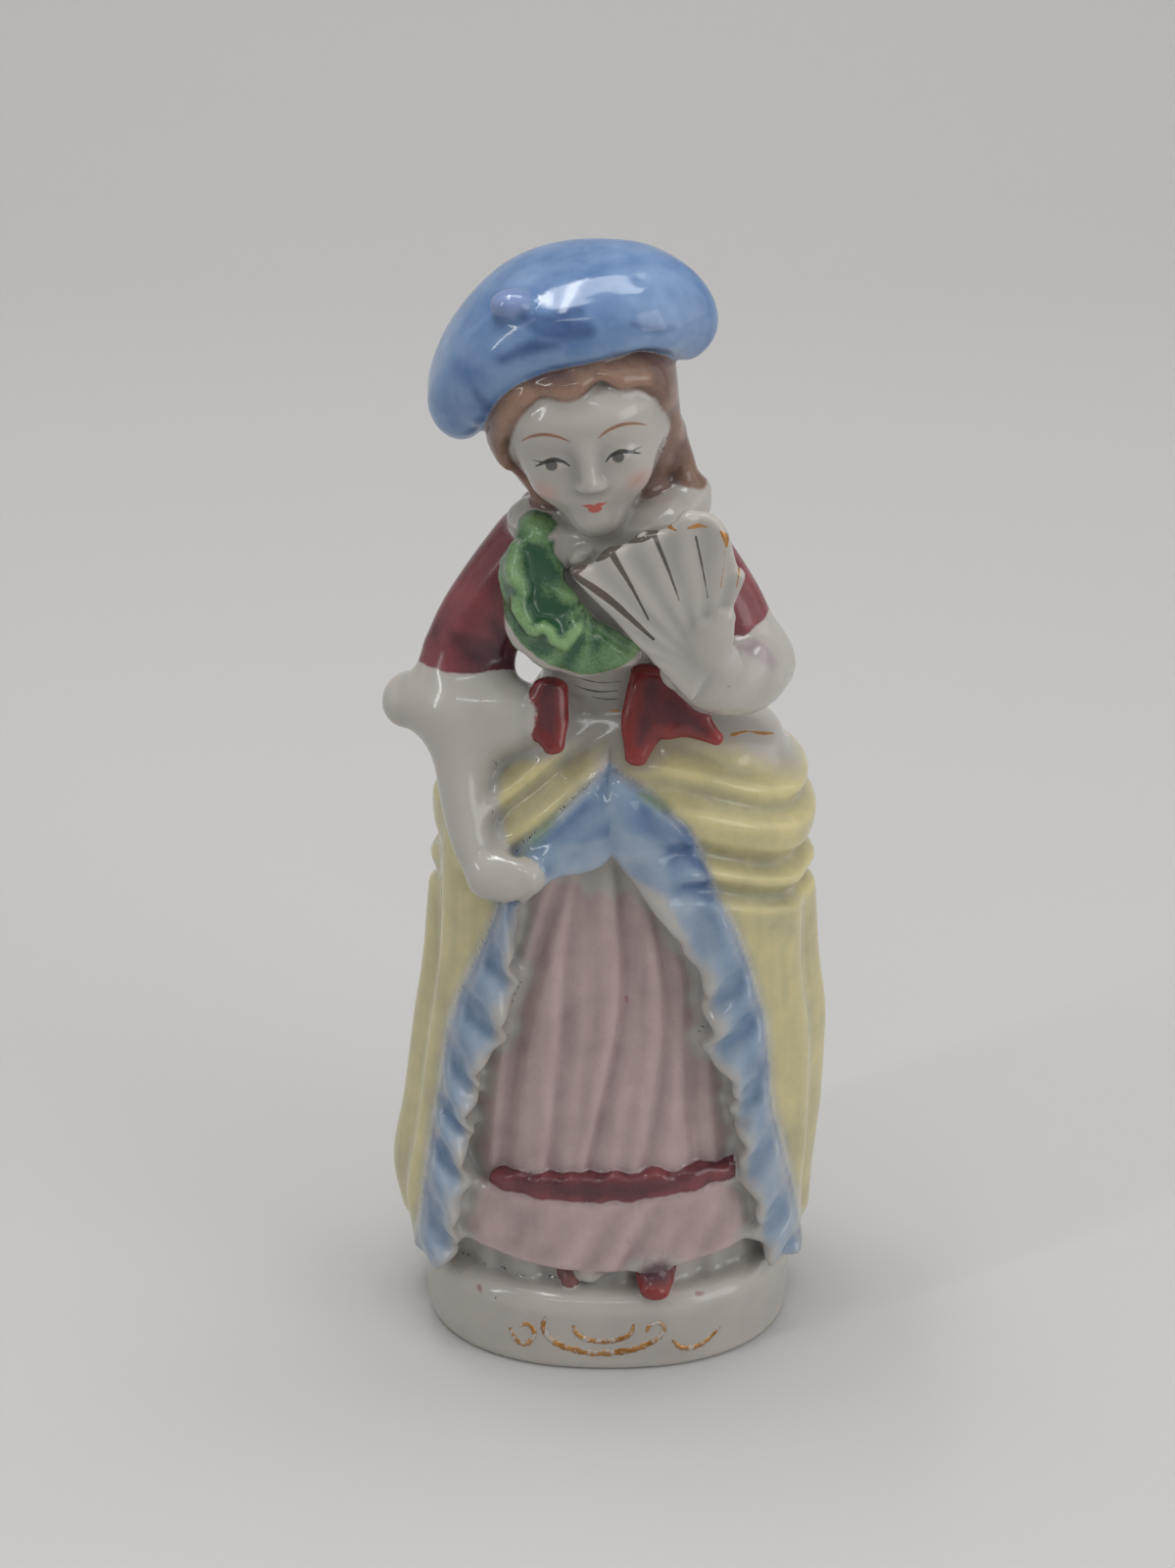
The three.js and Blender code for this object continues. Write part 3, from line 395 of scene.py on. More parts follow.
def gown(p):
    x, y, h = above_plinth(p)
    angle = angle_of(p)
    side, front = np.abs(angle), ease((4 - y) / 6)
    inner, outer = edging_rims(x, h)
    tilt = np.where(x < 0, *(np.interp(h, EDGING_IN[0], c) for c in EDGING_IN[2].T))
    frill = ruffle_of(x, h, 0.1) + 0.45 * np.sin(2 * np.pi * h / 3.3 + 1.3 * np.sin(h / 4))
    rim = inner + 0.5 * frill * ease((48 - h) / 8) * front
    turn = (side + 0.12 * h) * np.pi / 15 + 0.8 * np.sin(side * np.pi / 40)
    fold = FOLD_DEPTH * np.sin(turn)
    fold = fold * ease((side - 62) / 22) * ease((56 - h) / 20)
    left = read(SWAGS_LEFT, h + 5 * ease((side - 25) / 55) - 4 * ease((side - 100) / 80))[0]
    right = read(SWAGS_RIGHT, h + 0.83 * np.abs(x))[0] * ease((70 - side) / 20)
    swag = np.where(x > 0, left * ease((side - 12) / 20), 0.9 * right + left * ease((side - 75) / 25))
    swag = swag * ease((67 - h) / 4) * share("swags")
    across = np.clip((np.abs(x) - rim) / np.maximum(outer - rim, 1), 0, 1)
    ruffle = ruffle_of(x, h, across) * (1 - 0.45 * across) * ease((56 - h) / 6)
    edging = EDGING_PROUD + RUFFLE_DEPTH * share("ruffles") * ruffle
    edging = edging * ease((outer + 0.5 - np.abs(x)) / 1.1) * front * ease((64 - h) / 3)
    body = modelled(GOWN(x, y, h) - fold - swag - edging, p, GOWN_RELIEF)
    opening = (rim - np.abs(x)) / np.sqrt(1 + np.minimum(tilt * tilt, 9))
    body = cut(body, opening * front - 40 * (1 - front), 1.5)
    body = cut(body, np.maximum(0.2 - h, h - SKIRT_END), 0.8)
    band, low = np.where(y > -3, -9, outer - np.abs(x)), h - PANNIER_LOW
    return body, {
        "gown_train": np.maximum(band, low),
        "left_pannier": np.maximum(np.maximum(band, -low), -x),
        "right_pannier": np.maximum(np.maximum(band, -low), x),
        "left_border": np.maximum(-band, -x),
        "right_border": np.maximum(-band, x),
    }


# Folds of the edging near the waist: [stations x, y, z, half width], height, softness.
GOWN_RELIEF = [
    ([[0.6, -12.6, 71.6, 0.5], [1.6, -13.6, 68.4, 0.7], [3.0, -14.2, 65.2, 0.5]], 0.7, 1.1),
    ([[-1.4, -12.8, 70.0, 0.2], [-1.4, -13.6, 66.4, 0.3], [-1.6, -13.8, 62.8, 0.3]], 0.55, 0.8),
    ([[4.6, -14.2, 64.0, 0.4], [5.6, -14.6, 61.4, 0.6], [7.2, -14.4, 58.6, 0.4]], 0.6, 1.0),
    ([[-8.6, -14.4, 63.4, 0.3], [-5.4, -14.4, 63.6, 0.4], [-2.6, -14.2, 62.2, 0.2]], 0.6, 0.9),
    ([[0.0, -13.2, 67.0, 0.2], [0.2, -13.6, 63.8, 0.6]], -0.7, 1.0),
]


TORSO = Stack([
    [-3, 7.4, 7.4, 6, 6],
    [0, 7.2, 7.2, 6, 6],
    [4, 7.2, 7.2, 6.4, 6],
    [13, 10, 10, 9.6, 6.75],
    [19, 11, 10, 7.75, 6.75],
    [23, 7.2, 6, 4.65, 4.96],
    [26, 4, 4, 3, 3],
])


def torso(p):
    h = p[:, 2] - WAIST
    body = cut(TORSO(p[:, 0], p[:, 1], h), np.maximum(-3 - h, h - 23.6), 1.5)
    return body, {"torso": None}


def plinth(p):
    x, y, z = p.T
    edge = 2.2
    wall, top = PLINTH(x, y, z * 0) + edge, z - PLINTH_TOP + edge
    body = np.hypot(np.maximum(wall, 0), np.maximum(top, 0)) + np.minimum(
        np.maximum(wall, top), 0) - edge
    recess = cut(PLINTH_RECESS(x, y, z * 0), z - 0.6, 0.3)
    return cut(cut(body, -z, 0.9), -recess, 0.3), {"plinth": None}


def oval(wide, deep):
    """An upright body of one oval, from its half width and half depth."""
    return Stack([[-1, wide, wide, deep, deep], [1, wide, wide, deep, deep]])


PLINTH = oval(PLINTH_HALF_WIDE, PLINTH_HALF_DEEP)
PLINTH_RECESS = oval(PLINTH_HALF_WIDE - FOOT_RING, PLINTH_HALF_DEEP - FOOT_RING)

# The head leans to her right and is a little bowed. Its pieces are measured from its middle.
HEAD_AT = np.array([-1.9, -5.5, SHOULDER + 8])
HEAD_TURN = leaning(-8, 6)
HEAD_WIDE = 17
HEAD_SCALE = np.array([HEAD_WIDE / 16.6, HEAD_WIDE / 16.6, 1])  # SKULL is 16.6 wide


def in_head(p):
    return (p - HEAD_AT) @ HEAD_TURN / HEAD_SCALE


SKULL = Stack([
    [-6.9, 0.6, 0.6, 4.8, 0.4],
    [-6.0, 2.3, 2.3, 6.9, 1.5],
    [-5.0, 3.7, 3.7, 7.6, 3],
    [-3.2, 5.1, 5.1, 8.0, 4.6],
    [0, 7.0, 7.0, 8.2, 6.6],
    [3, 8.2, 8.2, 8.3, 8.2],
    [6.5, 8.3, 8.3, 8.5, 8.4],
    [9, 6.8, 6.8, 7.2, 7],
    [10.5, 3, 3, 3.2, 3],
    [11.2, 1, 1, 1, 1],
])
FACE_UP = 1.4  # the features lie this much higher than the places given for them
# The doll's features, each at her left and mirrored: middle, radii.
EYE_SOCKET = [3.2, -10.0, 1.9], [2.5, 1.7, 1.5]
EYELID = [3.2, -6.9, 1.5], [1.6, 1.4, 0.9]
# The features laid on after the nose: middle, radii, how softly.
FEATURES = (
    ([0.75, -8.45, -1.2], [0.6, 0.65, 0.45], 0.7),  # nostril
    ([3.5, -5.9, -1.2], [2.0, 1.5, 1.9], 2.4),  # cheek
    ([0, -7.5, -3.35], [1.2, 0.8, 0.36], 0.7),  # upper lip
    ([0, -7.35, -4.0], [0.95, 0.8, 0.36], 0.7),  # lower lip
    ([0, -6.5, -6.0], [1.8, 1.5, 1.2], 1.8),  # chin
)
NOSE = Limb([[0, -8.0, 3.4, 1.3, 1.0], [0, -8.5, 1.2, 1.3, 1.3], [0, -9.0, -0.7, 1.8, 1.7]], 8)


def head(p):
    q = in_head(p)
    body = cut(SKULL(q[:, 0], q[:, 1], q[:, 2]), np.maximum(-6.4 - q[:, 2], q[:, 2] - 11), 1.2)
    q = q - [0, 0, FACE_UP]
    side = np.column_stack([np.abs(q[:, 0]), q[:, 1:]])
    body = cut(body, -egg(side, *EYE_SOCKET), 1.8)
    body = melt(body, egg(side, *EYELID), 0.9)
    body = melt(body, NOSE(q), 1.3)
    for middle, radii, soft in FEATURES:
        body = melt(body, egg(side, middle, radii), soft)
    return body, {"head": None}


HAIR = Stack([
    [-9, 4.4, 5.4, 4.1, 8.1],
    [-4, 6.9, 7.0, 6.3, 10.1],
    [-1, 8.5, 8.2, 8.0, 10.0],
    [1.5, 9.8, 9.3, 8.6, 9.7],
    [3.5, 10.2, 9.4, 8.8, 9.4],
    [7, 9.9, 9.5, 8.9, 9.5],
    [9.8, 8.9, 8.9, 8.3, 8.9],
    [12.2, 5.6, 5.6, 5.8, 5.4],
    [13.4, 2, 2, 2, 2],
])


# The edge of the fringe: how much higher or lower than an even curve, across the forehead.
FRINGE = run([
    [-9, -2.2], [-6.5, -0.5], [-3.8, 0.5], [-0.7, -0.4], [2.4, 0.75], [4.3, 0.35], [6.2, 0.9],
    [7.6, 0.6], [9, -1],
])


def hair(p):
    q = in_head(p)
    x, y, z = q.T
    wave = (0.04 + 0.22 * ease(y / 4)) * np.sin(x * 2.2 + 1.2 * np.sin(z * 0.55) + 0.8 * y)
    body = HAIR(x, y, z) - wave
    lift = read(FRINGE, x)[0] * ease(z / 7)
    side = np.where(x < 0, 8.5 - 1.0 * ease((4 - z) / 5), 8.5)
    u, v = (x - 0.1) / side, (z + 0.6 - lift) / np.where(z > -0.6, 10.4, 11.5)
    opening = (np.abs(u) ** 2.6 + np.abs(v) ** 2.6) ** (1 / 2.6) - 1
    body = cut(body, -cut(8.5 * opening, y + 2.0, 1.2), 2.4)
    return cut(body, np.maximum(-6.4 - z, z - 13), 0.8), {"hair": None}


HAT_AT = HEAD_AT + [-3.6, 1.6, 13.7]
HAT_TURN = leaning(-15, 7)
HAT_HALF_LONG = 15.6
HAT_HALF_DEEP = 9.8


def beret(p):
    q = (p - HAT_AT) @ HAT_TURN
    x, y, z = q.T
    a, b = HAT_HALF_LONG, HAT_HALF_DEEP
    out = np.clip((x / a) ** 2, 0, 1.2)
    z = z + np.where(x > 0, 3.2, 6.4) * out
    front = ease((-y - 1) / 6)
    above = 5.9 + np.where(x > 0, 2.3, -1.2) * out
    below = 4.6 + 4.6 * ease((-x - 5) / 8) - 2.1 * front * ease((x + 8) / 8)
    below = below + 2.2 * ease((x - 8) / 4) * front
    c = np.where(z > 0, above, below + 3.6 * ease((x - 7) / 6) * (1 - front))
    flat = np.hypot(x, y * a / b) / a
    turn = np.arctan2(y * a / b, x)
    gather = 0.018 * np.sin(5 * turn + 0.7) + 0.012 * np.sin(9 * turn + 2)
    rho, rise = flat * (1 - gather * ease(flat * 1.4 - 0.3)), z / c
    size = np.maximum((rho**3.0 + rise**2) ** (1 / 2.4), 1e-2)
    lead = size ** (-1.4) / 2.4
    gx = lead * 3.0 * rho**2.0 * np.abs(x) / np.maximum(flat, 1e-2) / a**2
    gy = lead * 3.0 * rho**2.0 * np.abs(y) / np.maximum(flat, 1e-2) / b**2
    gz = lead * 2 * np.abs(rise) / c
    body = (size - 1) / np.sqrt(gx**2 + gy**2 + gz**2 + 1e-5)
    return modelled(body, q, BERET_FOLDS), {"beret": None}


# Soft folds of the cap, in its own place: [stations x, y, z, half width], height, softness.
BERET_FOLDS = [
    ([[-9.5, -7.6, 2.0, 0.2], [-11.0, -6.0, -2.4, 0.5], [-11.6, -5.0, -6.0, 0.3]], -0.35, 1.4),
    ([[-7.0, -4.0, 5.8, 0.3], [-11.6, -3.0, 3.0, 0.4], [-14.0, -2.0, -1.0, 0.3]], -0.3, 1.6),
    ([[1.5, -6.2, 5.2, 0.2], [5.5, -6.0, 4.2, 0.4], [9.0, -4.0, 3.2, 0.2]], -0.22, 1.3),
]
BUTTON_AT = HAT_TURN @ np.array([-3, -5.6, 5.0]) + HAT_AT


def beret_button(p):
    return egg(p, BUTTON_AT, [2.3, 1.9, 1.6]), {"beret_button": None}


# Rolled clay: the piece, how softly it is luted, and stations of [x, y, z, width, depth].
ROLLED = {
    "neck": ("neck", 1.6, [
        [-0.6, -0.6, SHOULDER - 2.6, 12.4, 10], [-1, -2.4, SHOULDER - 0.4, 9.6, 9],
        [-1.5, -4.4, SHOULDER + 2, 9, 9]]),
    "hair_lock": ("hair_lock", 2.4, [
        [6.7, -3.1, SHOULDER + 9, 2.0, 3.8], [7.6, -3.3, SHOULDER + 5.4, 2.6, 3.8],
        [8.5, -3.5, SHOULDER + 1.8, 2.0, 3.0]]),
    "right_sleeve": ("right_sleeve", 1.8, [
        [-6.6, -1, SHOULDER - 2.2, 7, 8.4], [-9.6, -1.4, SHOULDER - 6.2, 8.2, 8.8],
        [-13.3, -2.2, SHOULDER - 12.6, 9.4, 8.4], [-15.0, -2.8, WAIST + 6.4, 9.8, 8]]),
    "left_sleeve": ("left_sleeve", 1.8, [
        [5.4, -1.4, SHOULDER - 1.6, 7, 8.4], [8.8, -1.8, SHOULDER - 5.4, 7.8, 8.8],
        [12, -2.4, SHOULDER - 10.4, 8, 8.4], [14.4, -3, WAIST + 8, 7.6, 8]]),
    "right_cuff": ("right_cuff", 2.6, [
        [-21.2, -3, WAIST + 1.2, 6, 7], [-17.4, -4.4, WAIST + 1.7, 9.4, 8.8],
        [-12.4, -6.2, WAIST + 1.2, 9.2, 8.4], [-8.2, -7.2, WAIST + 1.2, 6.8, 6.2]]),
    "left_cuff": ("left_cuff", 2.8, [
        [16.2, -3.4, WAIST + 5.6, 6.8, 7.2], [14.2, -7.4, WAIST + 6.0, 8.0, 8.0],
        [10.6, -11.4, WAIST + 7.2, 6.4, 6.6], [7.0, -13.2, WAIST + 9.2, 3.6, 4.4]]),
    "left_wrist": ("left_cuff", 1.6, [
        [15.6, -8.6, WAIST + 9.4, 1.4, 2.0], [14.6, -10.6, WAIST + 7.4, 1.8, 2.4],
        [12.2, -12.6, WAIST + 6.2, 1.2, 2.0]]),
    "right_forearm": ("right_forearm", 2.8, [
        [-15.9, -6.4, WAIST + 0.4, 7.0, 7.2], [-15.6, -9.0, WAIST - 6.0, 5.2, 6.2],
        [-14.6, -11.4, WAIST - 11.1, 4.6, 5.2], [-12.9, -13.4, WAIST - 14.3, 4.2, 4.4]]),
    "right_hand": ("right_hand", 2.2, [
        [-12.3, -14.0, WAIST - 14.7, 4.0, 4.2], [-10.6, -15.4, WAIST - 14.6, 3.6, 3.4],
        [-8.6, -16.0, WAIST - 13.8, 2.4, 2.4]]),
    "right_thumb": ("right_hand", 1.6, [
        [-12.0, -14.0, WAIST - 13.2, 2.4, 2.4], [-10.0, -15.2, WAIST - 12.6, 1.8, 1.8],
        [-8.6, -15.6, WAIST - 12.8, 1.3, 1.3]]),
    "neck_frill": ("neck_frill", 2.4, [
        [-8.2, -4.4, SHOULDER - 0.4, 3.8, 4], [-5.2, -8, SHOULDER - 1.6, 3.8, 4],
        [0.6, -9.8, SHOULDER - 1.4, 4, 4], [5.6, -8, SHOULDER + 0.6, 4.8, 4.6],
        [8, -3.6, SHOULDER + 1, 4.4, 4.6]]),
    "collar": ("collar", 1.4, [
        [-7.5, -7.4, SHOULDER - 0.4, 3.0, 4.0], [-8.5, -8.8, SHOULDER - 5.0, 6.4, 5.2],
        [-7.1, -10.4, SHOULDER - 9.8, 7.2, 5.4], [-2.6, -11.6, SHOULDER - 12.0, 5.8, 4.8],
        [2.0, -12.4, SHOULDER - 12.0, 2.4, 3]]),
    "collar_inside": ("collar", 2.4, [
        [-7.0, -8.4, SHOULDER - 0.7, 2.8, 4.0], [-7.2, -10.8, SHOULDER - 4.5, 4.8, 4.2],
        [-5.0, -12.0, SHOULDER - 8.4, 5.0, 4.2], [-1.0, -12.4, SHOULDER - 11.0, 3.0, 3.4]]),
    "left_hand": ("left_hand", 3.4, [
        [11.0, -13.2, 86.6, 4.6, 4.6], [10.2, -15.5, 88.6, 4.4, 4.0], [10.8, -16.5, 90.8, 3.8, 2.9],
        [11.6, -16.5, 93.0, 2.4, 2.0]]),
    "left_thumb": ("left_hand", 1.2, [
        [7.2, -14.6, 88.6, 1.8, 1.6], [8.6, -16.0, 90.2, 1.9, 1.5], [9.4, -16.5, 92.2, 1.2, 1.1]]),
    "collar_frill": ("collar_frill", 1.5, [
        [-9.6, -9.6, SHOULDER - 1.6, 1.0, 1.4], [-9.8, -11.5, SHOULDER - 3.2, 1.6, 2.0],
        [-9.0, -12.6, SHOULDER - 4.8, 1.1, 1.8], [-9.3, -13.1, SHOULDER - 6.4, 1.7, 2.1],
        [-7.9, -13.8, SHOULDER - 8.4, 1.6, 2.1], [-6.5, -14.4, SHOULDER - 8.1, 1.1, 1.8],
        [-5.1, -14.6, SHOULDER - 9.5, 1.7, 2.1], [-3.4, -14.5, SHOULDER - 8.2, 1.1, 1.7]]),
    "right_tail": ("right_tail", 0.9, [
        [-6.2, -7.9, WAIST + 5.0, 3.8, 2.2], [-6.4, -9.4, WAIST + 2, 4.4, 1.8],
        [-5.8, -11.1, WAIST - 0.6, 2.3, 1.4]]),
    "left_tail": ("left_tail", 0.9, [
        [4.2, -8.0, WAIST + 6.2, 4.0, 2.4], [3.6, -9.8, WAIST + 2.2, 4.8, 2.0],
        [2.8, -11.6, WAIST - 1.6, 2.4, 1.6]]),
    "left_tail_middle": ("left_tail", 1.4, [
        [5.0, -8.4, WAIST + 5.6, 5.0, 2.4], [6.2, -10.0, WAIST + 3.2, 5.4, 2.1],
        [7.2, -11.0, WAIST + 1.7, 3.6, 1.8]]),
    "left_lappet": ("left_tail", 0.9, [
        [5.4, -9.0, WAIST + 4.6, 4.8, 2.2], [8.2, -10.6, WAIST + 2.8, 4.2, 2.0],
        [11.2, -12.0, WAIST + 1.0, 1.6, 1.6]]),
    "left_shoe": ("left_shoe", 0.9, [
        [5.4, -12.4, 12, 4.0, 3.6], [5.3, -14.8, 11.3, 4.4, 3.2], [5.2, -16.9, 10.5, 3.4, 2.2]]),
    "right_shoe": ("right_shoe", 0.9, [
        [-4.2, -11.4, 11.6, 3.0, 3.0], [-4.2, -13.2, 11.1, 2.8, 2.0],
        [-4.3, -14.6, 10.3, 1.6, 1.2]]),
    "frill_knot": ("neck_frill", 0.7, [
        [-3.7, -11.2, SHOULDER - 2.0, 1.0, 1.2], [-3.1, -11.7, SHOULDER - 1.4, 1.4, 1.4],
        [-2.4, -11.6, SHOULDER - 1.0, 1.0, 1.2]]),
    "petticoat_fold": ("petticoat", 0.9, [
        [-3.2, -13.4, 12.8, 2.2, 2.6], [-2.2, -14.6, 11.4, 2.4, 2.0],
        [-0.8, -14.0, 12.4, 2.2, 2.4]]),
}

COLLAR = [Limb(ROLLED[name][2]) for name in ("collar", "collar_inside")]
# Its ruffled surface: [stations x, y, z, half width], height, softness.
COLLAR_RELIEF = [
    ([[-7.3, -10.4, 97.4, 0.3], [-7.0, -12.4, 94.8, 0.5], [-6.3, -14.0, 92.0, 0.4]], -0.8, 1.2),
    ([[-3.6, -11.6, 96.0, 0.3], [-3.0, -12.8, 92.8, 0.4], [-1.6, -13.8, 90.4, 0.3]], 0.4, 1.0),
    ([[-12.2, -8.0, 94.0, 0.2], [-10.6, -11.0, 90.0, 0.3], [-8.4, -13.4, 87.6, 0.3]], -0.45, 1.1),
]


def collar(p):
    body = melt(COLLAR[0](p), COLLAR[1](p), ROLLED["collar_inside"][1])
    around = np.arctan2(p[:, 2] - 93, p[:, 0] + 2.0)
    body = body - 0.13 * np.sin(11 * around + 1.5 * np.sin(3 * around))
    return modelled(body, p, COLLAR_RELIEF), {"collar": None}


FAN_PIVOT = np.array([9.9, -15.6, SHOULDER - 12.2])
FAN_RADIUS = 17
FAN_FLUTES = 5
FAN_FIRST = 142.5  # degrees up from her left: the stick on her right
FAN_LAST = 70
# The scalloped rim: how far it reaches as a share of the radius, by angle from her left.
FAN_REACH = run([
    [60, 0.62], [70, 0.66], [75, 0.7], [77.4, 0.755], [84, 0.92], [92, 1.04], [96, 1.04],
    [103, 0.975], [110, 0.962], [126, 0.976], [134.5, 0.99], [142, 1.055], [150, 1.055],
])


def fan(p):
    x, y, z = (p - FAN_PIVOT).T
    radius, angle = np.hypot(x, z), np.degrees(np.arctan2(z, x))
    opened = (FAN_FIRST - angle) / (FAN_FIRST - FAN_LAST)
    ridge = np.cos(2 * np.pi * opened * FAN_FLUTES)
    reach = FAN_RADIUS * read(FAN_REACH, angle)[0] + 0.25 * ridge
    deep = y + 0.02 * radius + 0.3 * ridge * np.clip(radius / FAN_RADIUS, 0, 1) * (y < 0)
    body = cut(np.abs(deep) - 0.9, radius - reach, 0.8)
    # Its side under the first stick is cut straight, and the other side follows the last one.
    body = cut(body, -0.762 * (x + 13.5) - 0.648 * (z - 10.35), 0.6)
    last = np.radians(FAN_LAST)
    body = cut(body, x * np.sin(last) - z * np.cos(last), 0.6)
    return body, {"fan": None}


def built_forms():
    """[lowest corner, highest corner, how softly it is luted, form], in the order of luting."""
    forms = [
        ([-22, -18.5, 0], [22, 18.5, 10], 1.0, plinth),
        ([-20, -15, 6], [20, 15, 78], 1.4, petticoat),
        ([-22, -18, 10], [22, 6, 27], 0.5, flounce),
        ([-22, -18, 18], [22, 6, 28], 0.5, ribbon),
        ([-26, -20, 9], [26, 19, 79], 1.5, gown),
        ([-12, -11, 72], [12, 8, 103], 1.2, torso),
    ]

    def rolled(*names):
        for name in names:
            piece, soft, stations = ROLLED[name]
            limb = Limb(stations)
            forms.append((limb.low, limb.high, soft,
                          lambda p, limb=limb, piece=piece: (limb(p), {piece: None})))

    rolled("neck")
    forms.append(([-13, -17, 97], [9, 5, 120], 0.8, head))
    forms.append(([-15, -17, 98], [11, 8, 123], 1.0, hair))
    rolled("hair_lock")
    forms.append(([-23, -15, 104], [14, 8, 130], 0.6, beret))
    forms.append(([-10, -13, 120], [-2, -5, 130], 0.5, beret_button))
    rolled("right_sleeve", "left_sleeve", "right_cuff", "left_cuff", "right_forearm", "right_hand",
           "right_thumb", "neck_frill", "frill_knot")
    forms.append(([-15, -18, 80], [6, -2, 103], 1.2, collar))
    rolled("left_wrist", "left_hand", "left_thumb")
    forms.append(([-5, -19, 84], [20, -12, 106], 0.7, fan))
    rolled("collar_frill", "right_tail", "left_tail", "left_tail_middle", "left_lappet",
           "left_shoe", "right_shoe", "petticoat_fold")
    return [(np.array(low, float), np.array(high, float), soft, form)
            for low, high, soft, form in forms]


FORMS = built_forms()
CLAY = [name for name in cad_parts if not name.endswith("_scroll")]
PLACE = {name: i for i, name in enumerate(CLAY)}


def clay(p):
    """Distance to the luted figure, and to each clay piece, at points that lie together."""
    fused = np.full(len(p), FAR)
    near = np.full((len(CLAY), len(p)), FAR)
    low, high = p.min(0) - 3, p.max(0) + 3
    for least, most, soft, form in FORMS:
        if (low > most).any() or (high < least).any():
            continue
        body, parts = form(p)
        for name, rest in parts.items():
            own = body if rest is None else np.maximum(body, rest)
            near[PLACE[name]] = np.minimum(near[PLACE[name]], own)
        fused = melt(fused, body, soft)
    return fused, near


def in_batches(p, block, work):
    """Does the work on points taken block by block, and gives the results in the given order."""
    key = np.floor(p / block).astype(np.int64) + 500
    key = (key[:, 0] * 1000 + key[:, 1]) * 1000 + key[:, 2]
    order = np.argsort(key, kind="stable")
    ends = np.flatnonzero(np.diff(key[order])) + 1
    done = [work(p[rows]) for rows in np.split(order, ends)]
    back = np.empty_like(order)
    back[order] = np.arange(len(order))
    return [np.concatenate(part, axis=-1)[..., back] for part in zip(*done)]


# Luting and firing: the pieces' shared skin.
def finer(a, times):
    for axis in range(3):
        t = np.arange((a.shape[axis] - 1) * times + 1) / times
        i = np.minimum(t.astype(int), a.shape[axis] - 2)
        w = (t - i).astype(a.dtype).reshape([-1 if k == axis else 1 for k in range(3)])
        a = np.take(a, i, axis) * (1 - w) + np.take(a, i + 1, axis) * w
    return a


def sampled(field, at):
    """A grid's value between its points."""
    at = np.clip(at, 0, np.array(field.shape) - 1.001)
    i = at.astype(int)
    f = at - i
    flat, (_, ny, nz) = field.reshape(-1), field.shape
    base = (i[:, 0] * ny + i[:, 1]) * nz + i[:, 2]
    total = 0
    for dx in (0, 1):
        for dy in (0, 1):
            for dz in (0, 1):
                w = (f[:, 0] if dx else 1 - f[:, 0]) * (f[:, 1] if dy else 1 - f[:, 1])
                w = w * (f[:, 2] if dz else 1 - f[:, 2])
                total = total + w * flat[base + (dx * ny + dy) * nz + dz]
    return total


def gathered(quads, carried, count):
    """For each point, the sum of what the faces around it carry."""
    return np.stack([
        np.bincount(quads.reshape(-1), np.repeat(column, 4), count) for column in carried.T
    ], 1)


BLOCK_WIDE = 9.0  # points are worked on in blocks of this size far from the skin
BLOCK_NEAR = 4.5  # and of this size near it
VENT_DEEP = 5.0
OPEN_AIR = 255  # the owner of a grid point outside the clay


